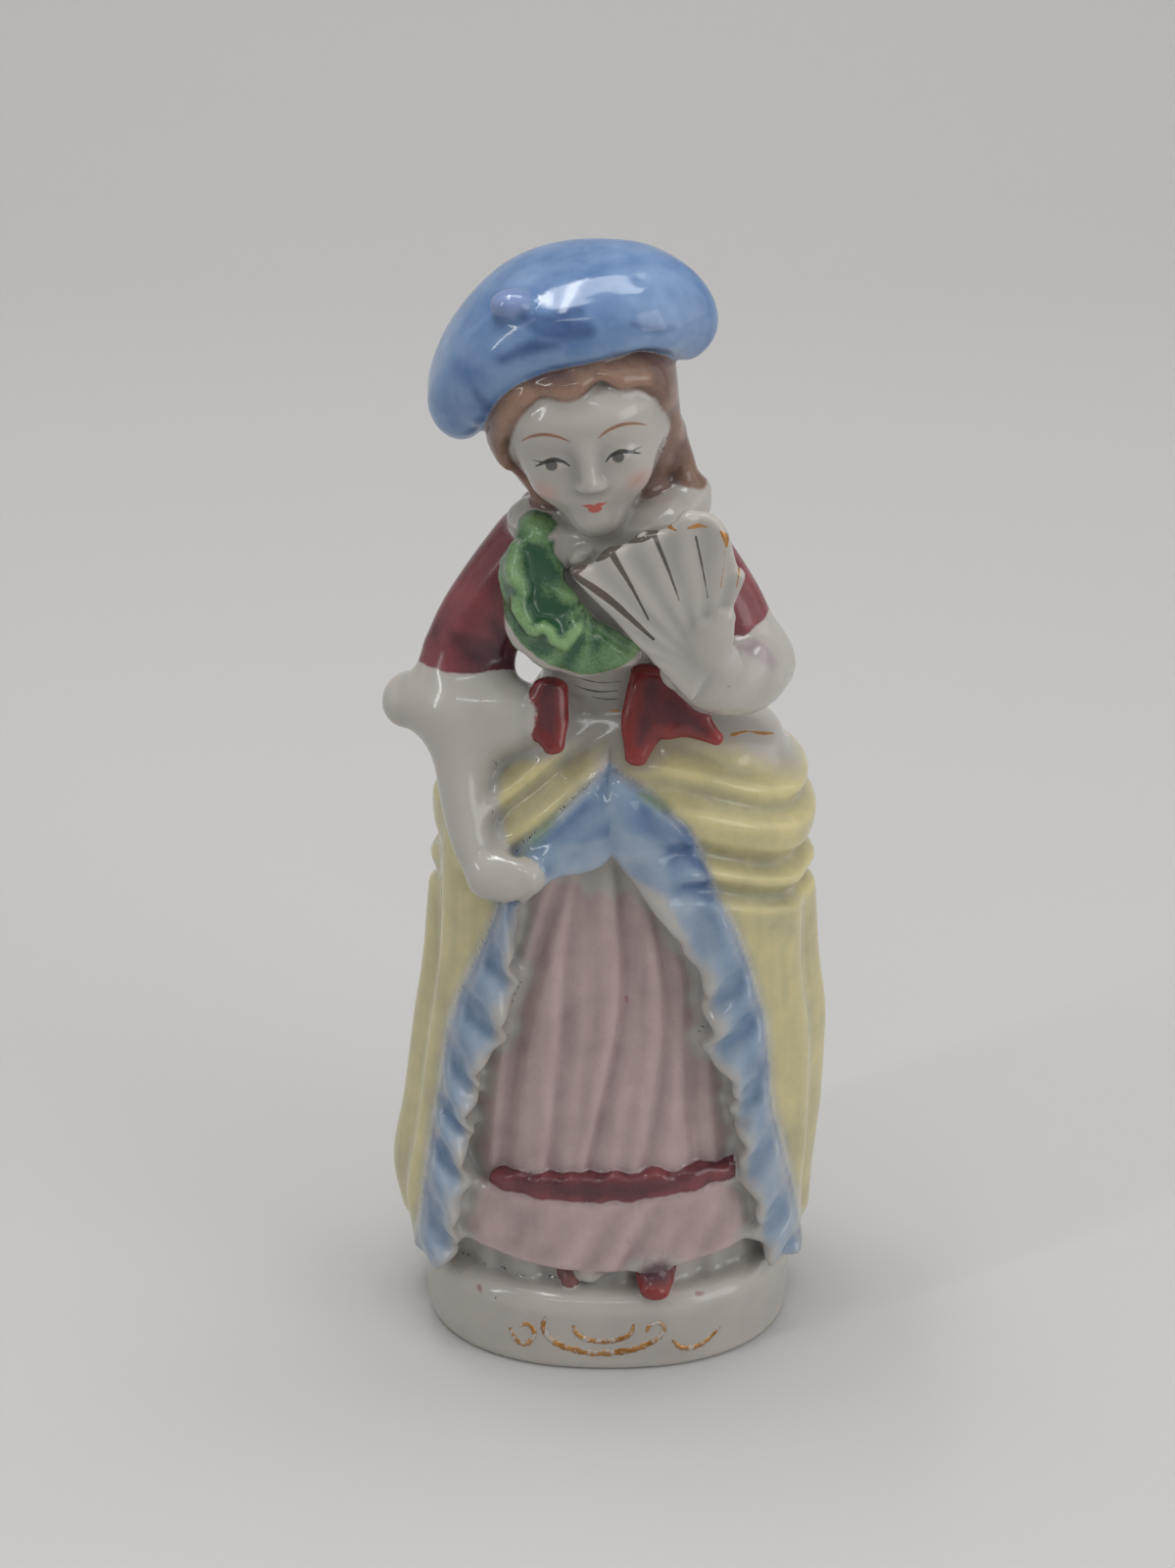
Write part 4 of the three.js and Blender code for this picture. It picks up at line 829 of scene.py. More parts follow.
def fired(step, wall, vent):
    """The whole figure as one net of four-sided faces, each with the piece on either side."""
    times = 4  # steps between the points of the rough grid
    low = CAD_LOW - 3 * step
    count = np.ceil((CAD_HIGH - low + 3 * step) / (step * times)).astype(int) + 1
    grid = np.stack(np.meshgrid(*[np.arange(n) for n in count], indexing="ij"), -1)
    places = low + grid.reshape(-1, 3) * step * times
    rough, near = in_batches(places, BLOCK_WIDE, clay)
    owner = near.argmin(0).astype(np.uint8).reshape(count)
    body = finer(rough.reshape(count).astype(np.float32), times)
    size = body.shape
    nearest_rough = [np.minimum((np.arange(n) + times // 2) // times, c - 1)
                     for n, c in zip(size, count)]
    owner = owner[np.ix_(*nearest_rough)]
    close = np.flatnonzero(np.abs(body.reshape(-1)) < 3.2 * step)
    at = np.stack(np.unravel_index(close, size), -1)
    fine, near = in_batches(low + at * step, BLOCK_NEAR, clay)
    body.reshape(-1)[close] = fine
    owner.reshape(-1)[close] = near.argmin(0)
    # The casting is hollow, with a vent through the plinth's underside.
    axes = [low[k] + np.arange(size[k]) * step for k in range(3)]
    hole = np.hypot(axes[0][:, None], axes[1][None, :])[:, :, None] - vent / 2
    hole = np.maximum(hole, (axes[2] - VENT_DEEP)[None, None, :])
    solid = np.maximum(np.maximum(body, -body - wall), -hole).astype(np.float32)
    owner = np.where(solid > 0, OPEN_AIR, owner).astype(np.uint8)

    # A face stands between each two neighbours that aren't one piece's, and its corners lie in
    # the cells around, each at the mean of the places where the cell's sides are crossed.
    strides = np.array([size[1] * size[2], size[2], 1])
    cells, sums, air, first, second = [], [], [], [], []
    for axis in range(3):
        a = [slice(None)] * 3
        b = [slice(None)] * 3
        a[axis], b[axis] = slice(0, -1), slice(1, None)
        a, b = tuple(a), tuple(b)
        spot = np.argwhere(owner[a] != owner[b])
        base = spot @ strides
        flat, values = owner.reshape(-1), solid.reshape(-1)
        la, lb = flat[base], flat[base + strides[axis]]
        fa, fb = values[base], values[base + strides[axis]]
        open_air = (la == OPEN_AIR) | (lb == OPEN_AIR)
        with np.errstate(divide="ignore", invalid="ignore"):
            t = np.where(open_air, fa / (fa - fb), 0.5)
        at = spot.astype(float)
        at[:, axis] += np.clip(np.nan_to_num(t, nan=0.5), 0, 1)
        j, k = strides[(axis + 1) % 3], strides[(axis + 2) % 3]
        cells.append(np.stack([base, base - j, base - j - k, base - k], 1))
        weight = np.where(open_air, 1.0, 1e-4)
        sums.append(np.column_stack([at * weight[:, None], weight]))
        first.append(la)
        second.append(lb)
        air.append(open_air)
    cells, sums = np.concatenate(cells), np.concatenate(sums)
    first, second, air = map(np.concatenate, (first, second, air))
    used, net = np.unique(cells, return_inverse=True)
    net = net.reshape(-1, 4)
    total = gathered(net, sums, len(used))
    at = total[:, :3] / total[:, 3:]
    skin = total[:, 3] > 0.5
    # The net's points are drawn onto the skin itself.
    for _ in range(3):
        spot = at[skin]
        value = sampled(solid, spot)
        slope = np.stack([
            (sampled(solid, spot + d) - sampled(solid, spot - d)) for d in np.eye(3) * 0.5
        ], 1)
        move = slope * (value / np.maximum((slope * slope).sum(1), 0.2 * step * step))[:, None]
        length = np.linalg.norm(move, axis=1)[:, None]
        at[skin] = spot - move * np.minimum(1, 0.5 / np.maximum(length, 1e-6))
    p = low + at * step
    return p, net, first, second, air


def normals_of(p, quads):
    a, b, c, d = (p[quads[:, k]] for k in range(4))
    total = gathered(quads, np.cross(c - a, d - b), len(p))
    return total / np.maximum(np.linalg.norm(total, axis=1), 1e-12)[:, None]


def smoothed(values, edges, rounds):
    """Each value moved towards the mean of its neighbours, some rounds long."""
    count = np.bincount(edges.reshape(-1), minlength=len(values))
    count = np.maximum(count, 1)[:, None]
    a, b = edges.T
    for _ in range(rounds):
        total = np.stack([
            np.bincount(a, column[b], len(values)) + np.bincount(b, column[a], len(values))
            for column in values.T
        ], 1)
        values = 0.4 * values + 0.6 * total / count
    return values


kiln = {}


def figure():
    """The fired figure, made once for the sizes in use."""
    sizes = bpy.context.scene.figurine_sizes
    order = [getattr(sizes, key) for key in sizes.bl_rna.properties.keys() if key != "rna_type"]
    if kiln.get("order") == order:
        return kiln
    step = sizes.detail / MM
    p, net, first, second, air = fired(step, sizes.cast_wall / MM, sizes.vent / MM)
    outer = net[air].copy()
    inward = second[air] != OPEN_AIR
    outer[inward] = outer[inward][:, ::-1]
    edges = np.concatenate([outer[:, [0, 1]], outer[:, [1, 2]], outer[:, [2, 3]], outer[:, [3, 0]]])
    edges = np.unique(np.sort(edges, 1), axis=0)
    normal = normals_of(p, outer)
    normal = smoothed(normal, edges, 2)
    normal /= np.maximum(np.linalg.norm(normal, axis=1), 1e-9)[:, None]
    # How far a softened skin would lie outside this one: + in creases, - on crests.
    rounds = int(round(2.2 * (0.9 / step) ** 2)) + 1
    soft = smoothed(p, edges, rounds)
    crease = ((soft - p) * normal).sum(1)
    kiln.update(order=order, p=p, net=net, first=first, second=second, normal=normal, crease=crease)
    return kiln


def part_of_skin(name):
    """The closed net of one piece: points, faces, directions, crease."""
    made = figure()
    label = PLACE[name]
    faces = np.concatenate([
        made["net"][made["first"] == label],
        made["net"][made["second"] == label][:, ::-1],
    ])
    if not len(faces):
        raise RuntimeError("nothing of the " + name + " shows in the fired figure")
    used, faces = np.unique(faces, return_inverse=True)
    faces = faces.reshape(-1, 4)
    return made["p"][used], faces, made["normal"][used], made["crease"][used]


def refined(p, faces, normal, crease):
    """Each face cut in four, for pieces that carry fine brushwork."""
    sides = np.stack([faces, np.roll(faces, -1, 1)], 2).reshape(-1, 2)
    edges, which = np.unique(np.sort(sides, 1), axis=0, return_inverse=True)
    which = which.reshape(-1, 4) + len(p)
    middle = np.arange(len(faces)) + len(p) + len(edges)
    cut_faces = [
        np.stack([faces[:, k], which[:, k], middle, which[:, k - 1]], 1) for k in range(4)
    ]
    grown = [
        np.concatenate([v, v[edges].mean(1), v[faces].mean(1)]) for v in (p, normal, crease)
    ]
    return grown[0], np.concatenate(cut_faces), grown[1], grown[2]


# Brushwork.
class Skin:
    """Points of a piece's skin, and what the painter goes by there."""

    def __init__(self, p, near):
        self.p, self.near = p, near
        self.x, self.y, self.z = p.T
        self.h = self.z - PLINTH_TOP
        self.q = in_head(p)
        self.face = self.q - [0, 0, FACE_UP]

    def on(self, *names):
        """How far outside the given pieces a point is: negative on them."""
        mine = [PLACE[n] for n in names]
        others = [i for i in range(len(CLAY)) if i not in mine]
        return (self.near[mine].min(0) - self.near[others].min(0)) * 0.8

    def dab(self, *strokes):
        """How far outside strokes laid on in space, through points of [x, y, z, half width]."""
        return np.min([stroke(self.p, points) for points in strokes], 0)

    def drawn(self, x, z, *lines):
        """How far outside lines drawn from in front, through points of [x, z, half width]."""
        flat = np.column_stack([x, np.zeros_like(x), z])
        return np.min([stroke(flat, [(a, 0, b, w) for a, b, w in line], 6) for line in lines], 0)

    def on_face(self, *lines):
        """How far outside lines drawn alike on the face's two sides."""
        x, y, z = self.face.T
        return self.drawn(np.abs(x), z, *lines) + AWAY * (y > -3)

    def edging(self):
        """The share of the way across the edging, from its inner rim, and its width."""
        inner, outer = edging_rims(self.x, self.h)
        width = np.maximum(outer - inner, 1)
        return (np.abs(self.x) - inner) / width, width


def yellow(s):
    gown = s.on("gown_train", "left_pannier", "right_pannier")
    gown = gown + 2.4 * ease((s.h - 61) / 6) + 2.2 * ease(1 - s.near[PLACE["right_forearm"]] / 3)
    top = np.interp(s.x, [6, 8, 13.5, 20.5], [80, 74.6, 73.3, 69.0])
    return np.maximum(gown, np.where(s.y < 4, s.z - top, -9))


def leaf_green(s):
    return s.dab(
        [(3.6, -13.2, 71.0, 0.4), (5.9, -13.2, 69.0, 0.7), (8.2, -13.4, 66.6, 0.3)],
        [(-4.6, -12.6, 69.4, 0.3), (-7.6, -13.8, 66.4, 0.6), (-9.8, -14.0, 63.6, 0.3)],
        [(22.4, -5.2, 46.6, 0.35), (22.5, -5.3, 46.0, 0.3)],
        [(22.4, -5.8, 42.9, 0.35), (22.5, -5.9, 42.2, 0.3)],
        [(22.5, -6.6, 38.4, 0.4), (22.6, -6.8, 37.6, 0.3)],
    )


def blue(s):
    return s.on("beret", "beret_button")


def edging_blue(s):
    across, width = s.edging()
    wave = 0.12 * ruffle_of(s.x, s.h, across)
    bare = (0.25 + wave - across) * width - 2.4 * ease((s.h - 50) / 8)
    return np.maximum(s.on("left_border", "right_border") + 0.2, bare)


def edging_shade(s):
    across, width = s.edging()
    outer = (0.62 - 0.1 * ruffle_of(s.x, s.h, across) - across) * width
    pale = np.where(s.x > 0, 2.2, 0.3) * ease((26 - s.h) / 14)
    return np.maximum(s.on("left_border", "right_border") + 0.2, outer) + pale


# Dark blue: a line near the edging's outer rim, and dabs on the beret and gown; the dabs on the
# beret's front also stand for painted shade.
def dark_blue(s):
    across, width = s.edging()
    rim = np.abs(across - 0.95) * width - 0.3 + 2 * np.maximum(s.on("left_border", "right_border"), 0)
    return np.minimum(rim + 0.35 + 3 * ease((s.h - 58) / 4), s.dab(
        # These three dabs on the beret's front, below the button, are dark blue brushwork laid
        # broader and darker as painted shade.
        [(-8.6, -11.9, 123.4, 0.6), (-6.1, -12.9, 122.8, 1.3), (-2.4, -13.2, 122.7, 0.9)],
        [(-5.6, -12.4, 124.0, 0.5), (-3.4, -12.4, 124.2, 0.8)],
        [(-10.8, -12.6, 119.2, 0.4), (-8.1, -13.1, 120.6, 0.7), (-5.4, -13.5, 121.2, 0.4)],
        [(-13.4, -11.6, 115.4, 0.4), (-12.1, -11.0, 113.5, 0.7)],
        [(2.2, -12.3, 122.9, 0.1), (4.3, -11.7, 122.1, 0.35), (6.3, -10.4, 121.8, 0.1)],
        [(5.9, -14.0, 68.8, 0.5), (8.3, -14.4, 66.0, 0.9), (11.0, -13.8, 59.2, 0.6)],
        [(-10.7, -14.2, 58.8, 0.3), (-9.5, -14.8, 59.9, 0.35)],
    ))


def violet(s):
    return s.on("beret_button") + 0.35


def pink(s):
    skirt = s.on("petticoat", "flounce", "flounce_ribbon") + 1.3
    low = hem(np.clip(angle_of(s.p), -SIDE, SIDE)) - 0.4 - s.h
    top = np.hypot(s.x / 1.3, s.h - 54) - 5.2 - 0.6 * np.sin(2.1 * s.x)
    return np.maximum(np.maximum(skirt, low), -top)


def crimson_dots(s):
    return s.dab(
        [(1.9, -12.5, 45.9, 0.22), (2.0, -12.5, 45.3, 0.15)],
        [(2.2, -15.8, 16.7, 0.3), (2.3, -15.8, 16.2, 0.2)],
        [(-14.6, -13.4, 8.6, 0.35), (-14.2, -13.6, 8.0, 0.2)],
        [(10.0, -15.2, 8.9, 0.3), (10.7, -15.0, 8.8, 0.2)],
        [(-2.8, -12.2, 41.0, 0.12), (-2.6, -12.2, 40.6, 0.1)],
        [(23.2, -4.8, 44.0, 0.1), (23.3, -5.0, 40.4, 0.18)],
    )


def mauve(s):
    return s.dab([(14.4, -9.4, 87.2, 1.2), (15.7, -9.5, 86.3, 1.5), (17.2, -9.3, 84.9, 1.1)])


def red(s):
    sleeve = s.on("right_sleeve")
    other = np.maximum(s.on("left_sleeve"), 86.2 + 0.4 * (s.x - 12.8) - s.z)
    edge = np.interp(s.z, [WAIST, WAIST + 6, WAIST + 16, SHOULDER], [5.5, 1.5, -1.5, -0.5])
    jacket = s.on("torso", "right_sleeve", "left_sleeve")
    back = np.max([jacket, edge - s.y, WAIST + 1.6 - s.z + 0.5 * np.cos(s.x * 1.4)], 0)
    return np.min([sleeve, other, back, s.on("flounce_ribbon") + 0.1], 0)


# Dark wine: the tails' dark centres and a patch on the left shoe, and painted shade on the right
# sleeve and along the ribbon's upper half.
def wine(s):
    tails = s.drawn(s.x, s.z, [(-6.4, 81.2, 0.9), (-6.7, 78.6, 1.0), (-6.1, 77.4, 0.5)],
                    [(4.4, 82.0, 0.7), (4.6, 79.4, 1.2), (7.0, 79.6, 1.1), (10.0, 78.0, 0.5)],
                    [(4.0, 78.8, 0.9), (3.2, 76.4, 0.5)])
    tails = np.maximum(tails, s.on("right_tail", "left_tail") - 0.2)
    return np.minimum(tails, s.dab(
        # Painted shade on the lower right sleeve, by the opening under the arm.
        [(-17.0, -6.2, 86.2, 0.6), (-13.8, -7.0, 84.6, 1.5), (-10.6, -6.2, 83.6, 1.5)],
        [(-12.4, -6.6, 88.0, 0.4), (-11.0, -6.0, 85.6, 1.0)],
        [(5.3, -13.6, 13.0, 1.8), (5.3, -15.6, 12.3, 1.7)],
        # Painted shade along the ribbon's upper half, in the recess under the petticoat.
        [(-11.4, -12.8, 23.0, 0.4), (-6.0, -14.8, 22.9, 1.0), (0.0, -15.5, 22.8, 1.1),
         (6.0, -14.9, 23.2, 1.0), (12.2, -12.6, 24.6, 0.4)],
    ))


def scarlet(s):
    return np.minimum(s.on("right_tail", "left_tail"), s.on("left_shoe"))


def rust(s):
    return s.on("right_shoe") - 0.1


def green(s):
    bare = 0.45  # half the width of the collar's bare rim
    rim = [(-11.8, 92.0), (-11.2, 89.8), (-9.1, 87.2), (-6.7, 85.8), (-3.3, 84.7), (0.0, 85.0),
           (3.0, 87.0)]
    rim = s.drawn(s.x, s.z, [(x, z, bare) for x, z in rim])
    return np.maximum(s.on("collar", "collar_frill") + 0.2, -rim)


def brown(s):
    return s.on("hair", "hair_lock")


def umber(s):
    x, y, z = s.q.T
    return s.drawn(x, z, [(-5.2, 11.2, 0.3), (-2.6, 11.6, 0.8), (-0.4, 11.4, 0.3)],
                   [(6.6, 11.4, 0.2), (8.2, 9.6, 0.6), (8.7, 6.4, 0.3)],
                   [(-8.8, 8.4, 0.2), (-9.4, 5.6, 0.5), (-8.8, 1.6, 0.2)]) + AWAY * (y > -2)


# The face is a doll's: thin brows, dark lids over half-shown eyes, a small mouth, rosy cheeks.
def blush(s):
    x, y, z = s.face.T
    return np.hypot(np.abs(x) - 4.7, z + 1.7) - 0.9 + AWAY * (y > -3)


def brow(s):
    return s.on_face([
        (1.4, 4.1, 0.06), (2.5, 4.75, 0.17), (3.9, 4.95, 0.19), (5.2, 4.5, 0.13), (6.2, 3.7, 0.04)])


def lash(s):
    return s.on_face([(1.8, 1.25, 0.08), (2.4, 1.85, 0.14), (3.3, 2.12, 0.2), (4.3, 1.85, 0.15),
                      (5.2, 1.2, 0.06)], [(4.3, 1.9, 0.09), (5.4, 1.75, 0.03)])


def iris(s):
    x, y, z = s.face.T
    ball = np.hypot(np.abs(x + 0.25) - 3.3, z - 1.62) - 0.6
    return np.maximum(ball, z - 2.1) + AWAY * (y > -3)


def eye_line(s):
    return s.on_face([(2.3, 1.1, 0.02), (3.2, 0.88, 0.05), (4.3, 1.1, 0.02)])


def lip(s):
    x, y, z = s.face.T
    upper = s.on_face([
        (0.0, -3.6, 0.2), (0.4, -3.45, 0.22), (0.85, -3.45, 0.14), (1.25, -3.36, 0.04)])
    lower = (np.hypot(x / 0.72, (z + 3.86) / 0.44) - 1) * 0.44
    return np.minimum(upper, lower + AWAY * (y > -3))


FAN_STICKS = [
    [(-3.6, 97.8, 0.34), (0.1, 94.9, 0.36), (4.4, 90.6, 0.2)],
    [(0.1, 100.3, 0.34), (2.1, 96.6, 0.2), (3.9, 92.7, 0.1)],
    [(4.4, 102.1, 0.24), (5.9, 98.2, 0.14), (7.0, 94.9, 0.06)],
    [(8.6, 101.9, 0.13), (9.4, 98.0, 0.09), (9.9, 95.1, 0.04)],
]
FAN_RIM = [(-3.9, 97.9, 0.3), (-1.9, 98.9, 0.24), (0.1, 100.3, 0.26), (2.3, 101.3, 0.2),
           (4.4, 102.2, 0.24), (5.4, 102.6, 0.1)]


def ink(s):
    flat = (s.x, s.z)
    fan_side = s.drawn(*flat, *FAN_STICKS, FAN_RIM) + AWAY * (s.y > -14.8)
    waist = s.drawn(*flat, [(-4.4, 81.6, 0.03), (-1.2, 80.9, 0.09), (2.0, 81.1, 0.04)],
                    [(-3.8, 80.2, 0.05), (-1.4, 79.7, 0.12), (0.9, 79.8, 0.07)],
                    [(-1.9, 79.0, 0.04), (-0.4, 78.8, 0.09), (0.9, 78.8, 0.05)]) + AWAY * (s.y > 0)
    under = s.drawn(*flat, [(-1.7, 61.5, 0.03), (-0.2, 62.7, 0.08), (1.2, 62.2, 0.07),
                            (3.4, 59.3, 0.05), (4.8, 57.6, 0.02)]) + AWAY * (s.y > -8)
    return np.min([fan_side, waist, under], 0)


def gold(s):
    flat = (s.x, s.z)
    dabs = s.drawn(*flat, [(5.0, 102.5, 0.1), (5.8, 102.75, 0.2), (6.6, 102.7, 0.08)],
                   [(7.8, 103.0, 0.12), (8.7, 103.1, 0.25), (9.7, 102.9, 0.08)],
                   [(8.2, 104.5, 0.08), (8.8, 104.6, 0.1)],
                   [(11.1, 102.6, 0.12), (11.6, 101.8, 0.3), (11.7, 100.9, 0.08)],
                   [(12.6, 99.6, 0.04), (13.0, 98.2, 0.07), (12.8, 96.4, 0.04)],
                   [(11.6, 100.6, 0.05), (11.2, 96.4, 0.04)]) + AWAY * (s.y > -14.6)
    line = s.dab([(12.5, -6.2, 74.7, 0.1), (13.4, -5.4, 74.2, 0.24), (14.8, -4.2, 74.0, 0.14),
                  (16.7, -3.3, 73.3, 0.26), (18.8, -0.9, 71.9, 0.08)])
    waist = s.drawn(*flat, [(-0.7, 77.7, 0.08), (1.0, 77.6, 0.12)]) + AWAY * (s.y > 3)
    return np.min([dabs, line, waist], 0)


# Enamels and glaze.
def linear(code):
    """An sRGB hex colour as linear values."""
    parts = [int(code[i:i + 2], 16) / 255 for i in (1, 3, 5)]
    return [c / 12.92 if c <= 0.04045 else ((c + 0.055) / 1.055) ** 2.4 for c in parts]


def add(tree, kind, inputs=None, **settings):
    """Adds a node with its settings; inputs are values, or sockets to link from."""
    made = tree.nodes.new(kind)
    for key, value in settings.items():
        setattr(made, key, value)
    for key, value in (inputs or {}).items():
        if isinstance(value, bpy.types.NodeSocket):
            tree.links.new(value, made.inputs[key])
        else:
            made.inputs[key].default_value = value
    return made


def fresh(name):
    """A new material and its empty tree of nodes."""
    made = bpy.data.materials.new(name)
    made.use_nodes = True
    made.node_tree.nodes.clear()
    return made, made.node_tree


# How an enamel takes: its brush, how soft and how ragged its edge is in mm, how much it covers,
# how deep it lies as a rule, and how that follows the wash's clouds, blots, strokes and grain,
# and the creases: deeper in them and thinner on crests, partly as the enamel pools and partly as
# painted light and shade.
ENAMELS = {
    "yellow": (yellow, 2.4, 0.9, 0.9, 0.38, 0.8, 0.5, 0.3, 0.2, 1.9),
    "pink": (pink, 1.6, 0.8, 0.95, 0.36, 0.9, 0.6, 0.45, 0.3, 2.2),
    "edging_blue": (edging_blue, 2.0, 1.0, 0.9, 0.42, 0.8, 0.8, 0.3, 0.2, 2.2),
    "edging_shade": (edging_shade, 3.0, 0.8, 0.85, 0.45, 0.9, 0.8, 0.3, 0.2, 3.6),
    "blue": (blue, 0.35, 0.3, 1.0, 0.5, 1.5, 1.0, 0.2, 0.1, 2.0),
    "leaf_green": (leaf_green, 1.6, 0.8, 0.75, 0.45, 0.5, 0.5, 0.0, 0.3, 1.0),
    "dark_blue": (dark_blue, 1.2, 0.4, 0.85, 0.45, 0.8, 1.2, 0.4, 0.3, 1.0),
    "violet": (violet, 0.5, 0.2, 0.5, 0.45, 0.5, 0.8, 0.0, 0.0, 1.5),
    "mauve": (mauve, 1.6, 0.8, 0.4, 0.45, 0.6, 1.2, 0.0, 0.4, 0.0),
    "brown": (brown, 0.5, 0.35, 0.95, 0.5, 1.4, 1.2, 0.4, 0.3, 2.2),
    "umber": (umber, 1.4, 0.8, 0.75, 0.45, 0.5, 0.8, 0.3, 0.2, 1.0),
    "green": (green, 0.3, 0.5, 1.0, 0.86, 0.6, 0.8, 0.2, 0.7, 3.6),
    "red": (red, 0.25, 0.45, 1.0, 0.5, 1.4, 1.0, 0.3, 0.4, 1.6),
    "scarlet": (scarlet, 0.2, 0.5, 1.0, 0.5, 0.9, 0.9, 0.3, 0.5, 1.0),
    "rust": (rust, 0.3, 0.3, 0.9, 0.5, 0.6, 0.9, 0.2, 0.4, 1.0),
    "wine": (wine, 1.4, 0.9, 0.85, 0.45, 0.6, 0.9, 0.2, 0.5, 0.5),
    "crimson_dots": (crimson_dots, 0.3, 0.25, 0.6, 0.45, 0.5, 0.8, 0.0, 0.3, 0.0),
    "blush": (blush, 2.6, 0.3, 0.5, 0.45, 0.6, 0.4, 0.0, 0.1, 0.0),
    "brow": (brow, 0.14, 0.06, 0.85, 0.45, 0.3, 1.2, 0.3, 0.3, 0.0),
    "iris": (iris, 0.14, 0.04, 0.85, 0.45, 0.2, 0.5, 0.0, 0.2, 0.0),
    "eye_line": (eye_line, 0.12, 0.03, 0.35, 0.45, 0.2, 0.5, 0.0, 0.2, 0.0),
    "lash": (lash, 0.1, 0.06, 0.92, 0.45, 0.3, 0.8, 0.2, 0.3, 0.0),
    "lip": (lip, 0.16, 0.06, 0.85, 0.45, 0.4, 0.8, 0.0, 0.3, 0.0),
    "ink": (ink, 0.1, 0.12, 0.92, 0.45, 0.8, 1.2, 0.2, 0.6, 0.0),
    "gold": (gold, 0.08, 0.22, 1.0, 0.45, 0.6, 1.4, 0.2, 0.8, 0.0),
}

# Which enamels each finish carries, in the order that they are laid on.
FINISHES = {
    # Bare white paste under a clear glaze: cool grey-white, greyer in the creases, partly where the
    # glaze pools and partly as painted shade.
    "clear_glazed_white_porcelain": (
        "yellow", "pink", "brown", "green", "red", "scarlet", "mauve", "crimson_dots", "ink", "gold"),
    # The face: the same white, with a rosy wash and lines of a fine brush under the glaze.
    "face_painted_porcelain": ("blush", "brown", "brow", "iris", "eye_line", "lash", "lip"),
    # The fan: bare white flutes, lined in brown-black and touched with gold.
    "gold_lined_porcelain": ("green", "ink", "gold"),
    # A wet blue wash that runs thin on the crests and dark in the hollows, partly as it pools and
    # partly as painted light and shade.
    "blue_washed_porcelain": ("brown", "blue", "violet", "dark_blue"),
    # The gown's ruffled edging: pale blue folds, a deeper blue outside, and a bare white rim. Its
    # paler crests and darker hollows are partly the wash's pooling and partly painted light and
    # shade.
    "blue_edged_porcelain": (
        "yellow", "pink", "edging_blue", "edging_shade", "leaf_green", "dark_blue"),
    # A thin lemon wash: clear on the ridges of the folds, olive grey between them, partly as it pools
    # and partly as painted light and shade.
    "lemon_washed_porcelain": (
        "yellow", "edging_blue", "leaf_green", "dark_blue", "crimson_dots", "gold"),
    # A greyed rose wash laid on in long strokes down the pleats, with a red band.
    "rose_washed_porcelain": ("pink", "red", "scarlet", "rust", "wine", "crimson_dots", "ink"),
    # Umber strokes along the hair, with bare patches.
    "umber_brushed_porcelain": ("brown", "umber", "blue"),
    # Thick over-glaze reds, with dark wine worked into them: dark centres on the tails, and painted
    # shade on the sleeves.
    "maroon_enamelled_porcelain": ("green", "red", "scarlet", "wine", "mauve"),
    # A heavy copper green: pale on the frills, speckled and nearly blue where it is thick; paler on
    # crests and darker in creases, partly as it pools and partly as painted light and shade.
    "copper_green_enamelled_porcelain": ("red", "green"),
}

# The two ends of each enamel's colour: laid on thin, and thick. Creases lean to the thick end and
# crests to the thin end, partly as pooling and partly as painted light and shade.
MIXED = {
    "leaf_green": ("#7F9468", "#5F7A5B"),
    "edging_shade": ("#7C92AC", "#4A658B"),
    "dark_blue": ("#4A6692", "#2E4370"),
    "violet": ("#7D86B4", "#4F5A92"),
    "mauve": ("#9C8794", "#7A6677"),
    "umber": ("#6F5349", "#4B3A40"),
    "wine": ("#5E3438", "#3A2429"),
    "rust": ("#7D4440", "#55302F"),
    "crimson_dots": ("#94505C", "#7A3644"),
    "blush": ("#C48E7C", "#BD8070"),
    "brow": ("#9A6440", "#6F4630"),
    "iris": ("#46484A", "#2C2D2F"),
    "eye_line": ("#6F6862", "#5B5550"),
    "lash": ("#3A3836", "#262524"),
    "lip": ("#BC4432", "#9C3428"),
    "ink": ("#57493D", "#2F2823"),
    "gold": ("#C99A62", "#A8743F"),
}


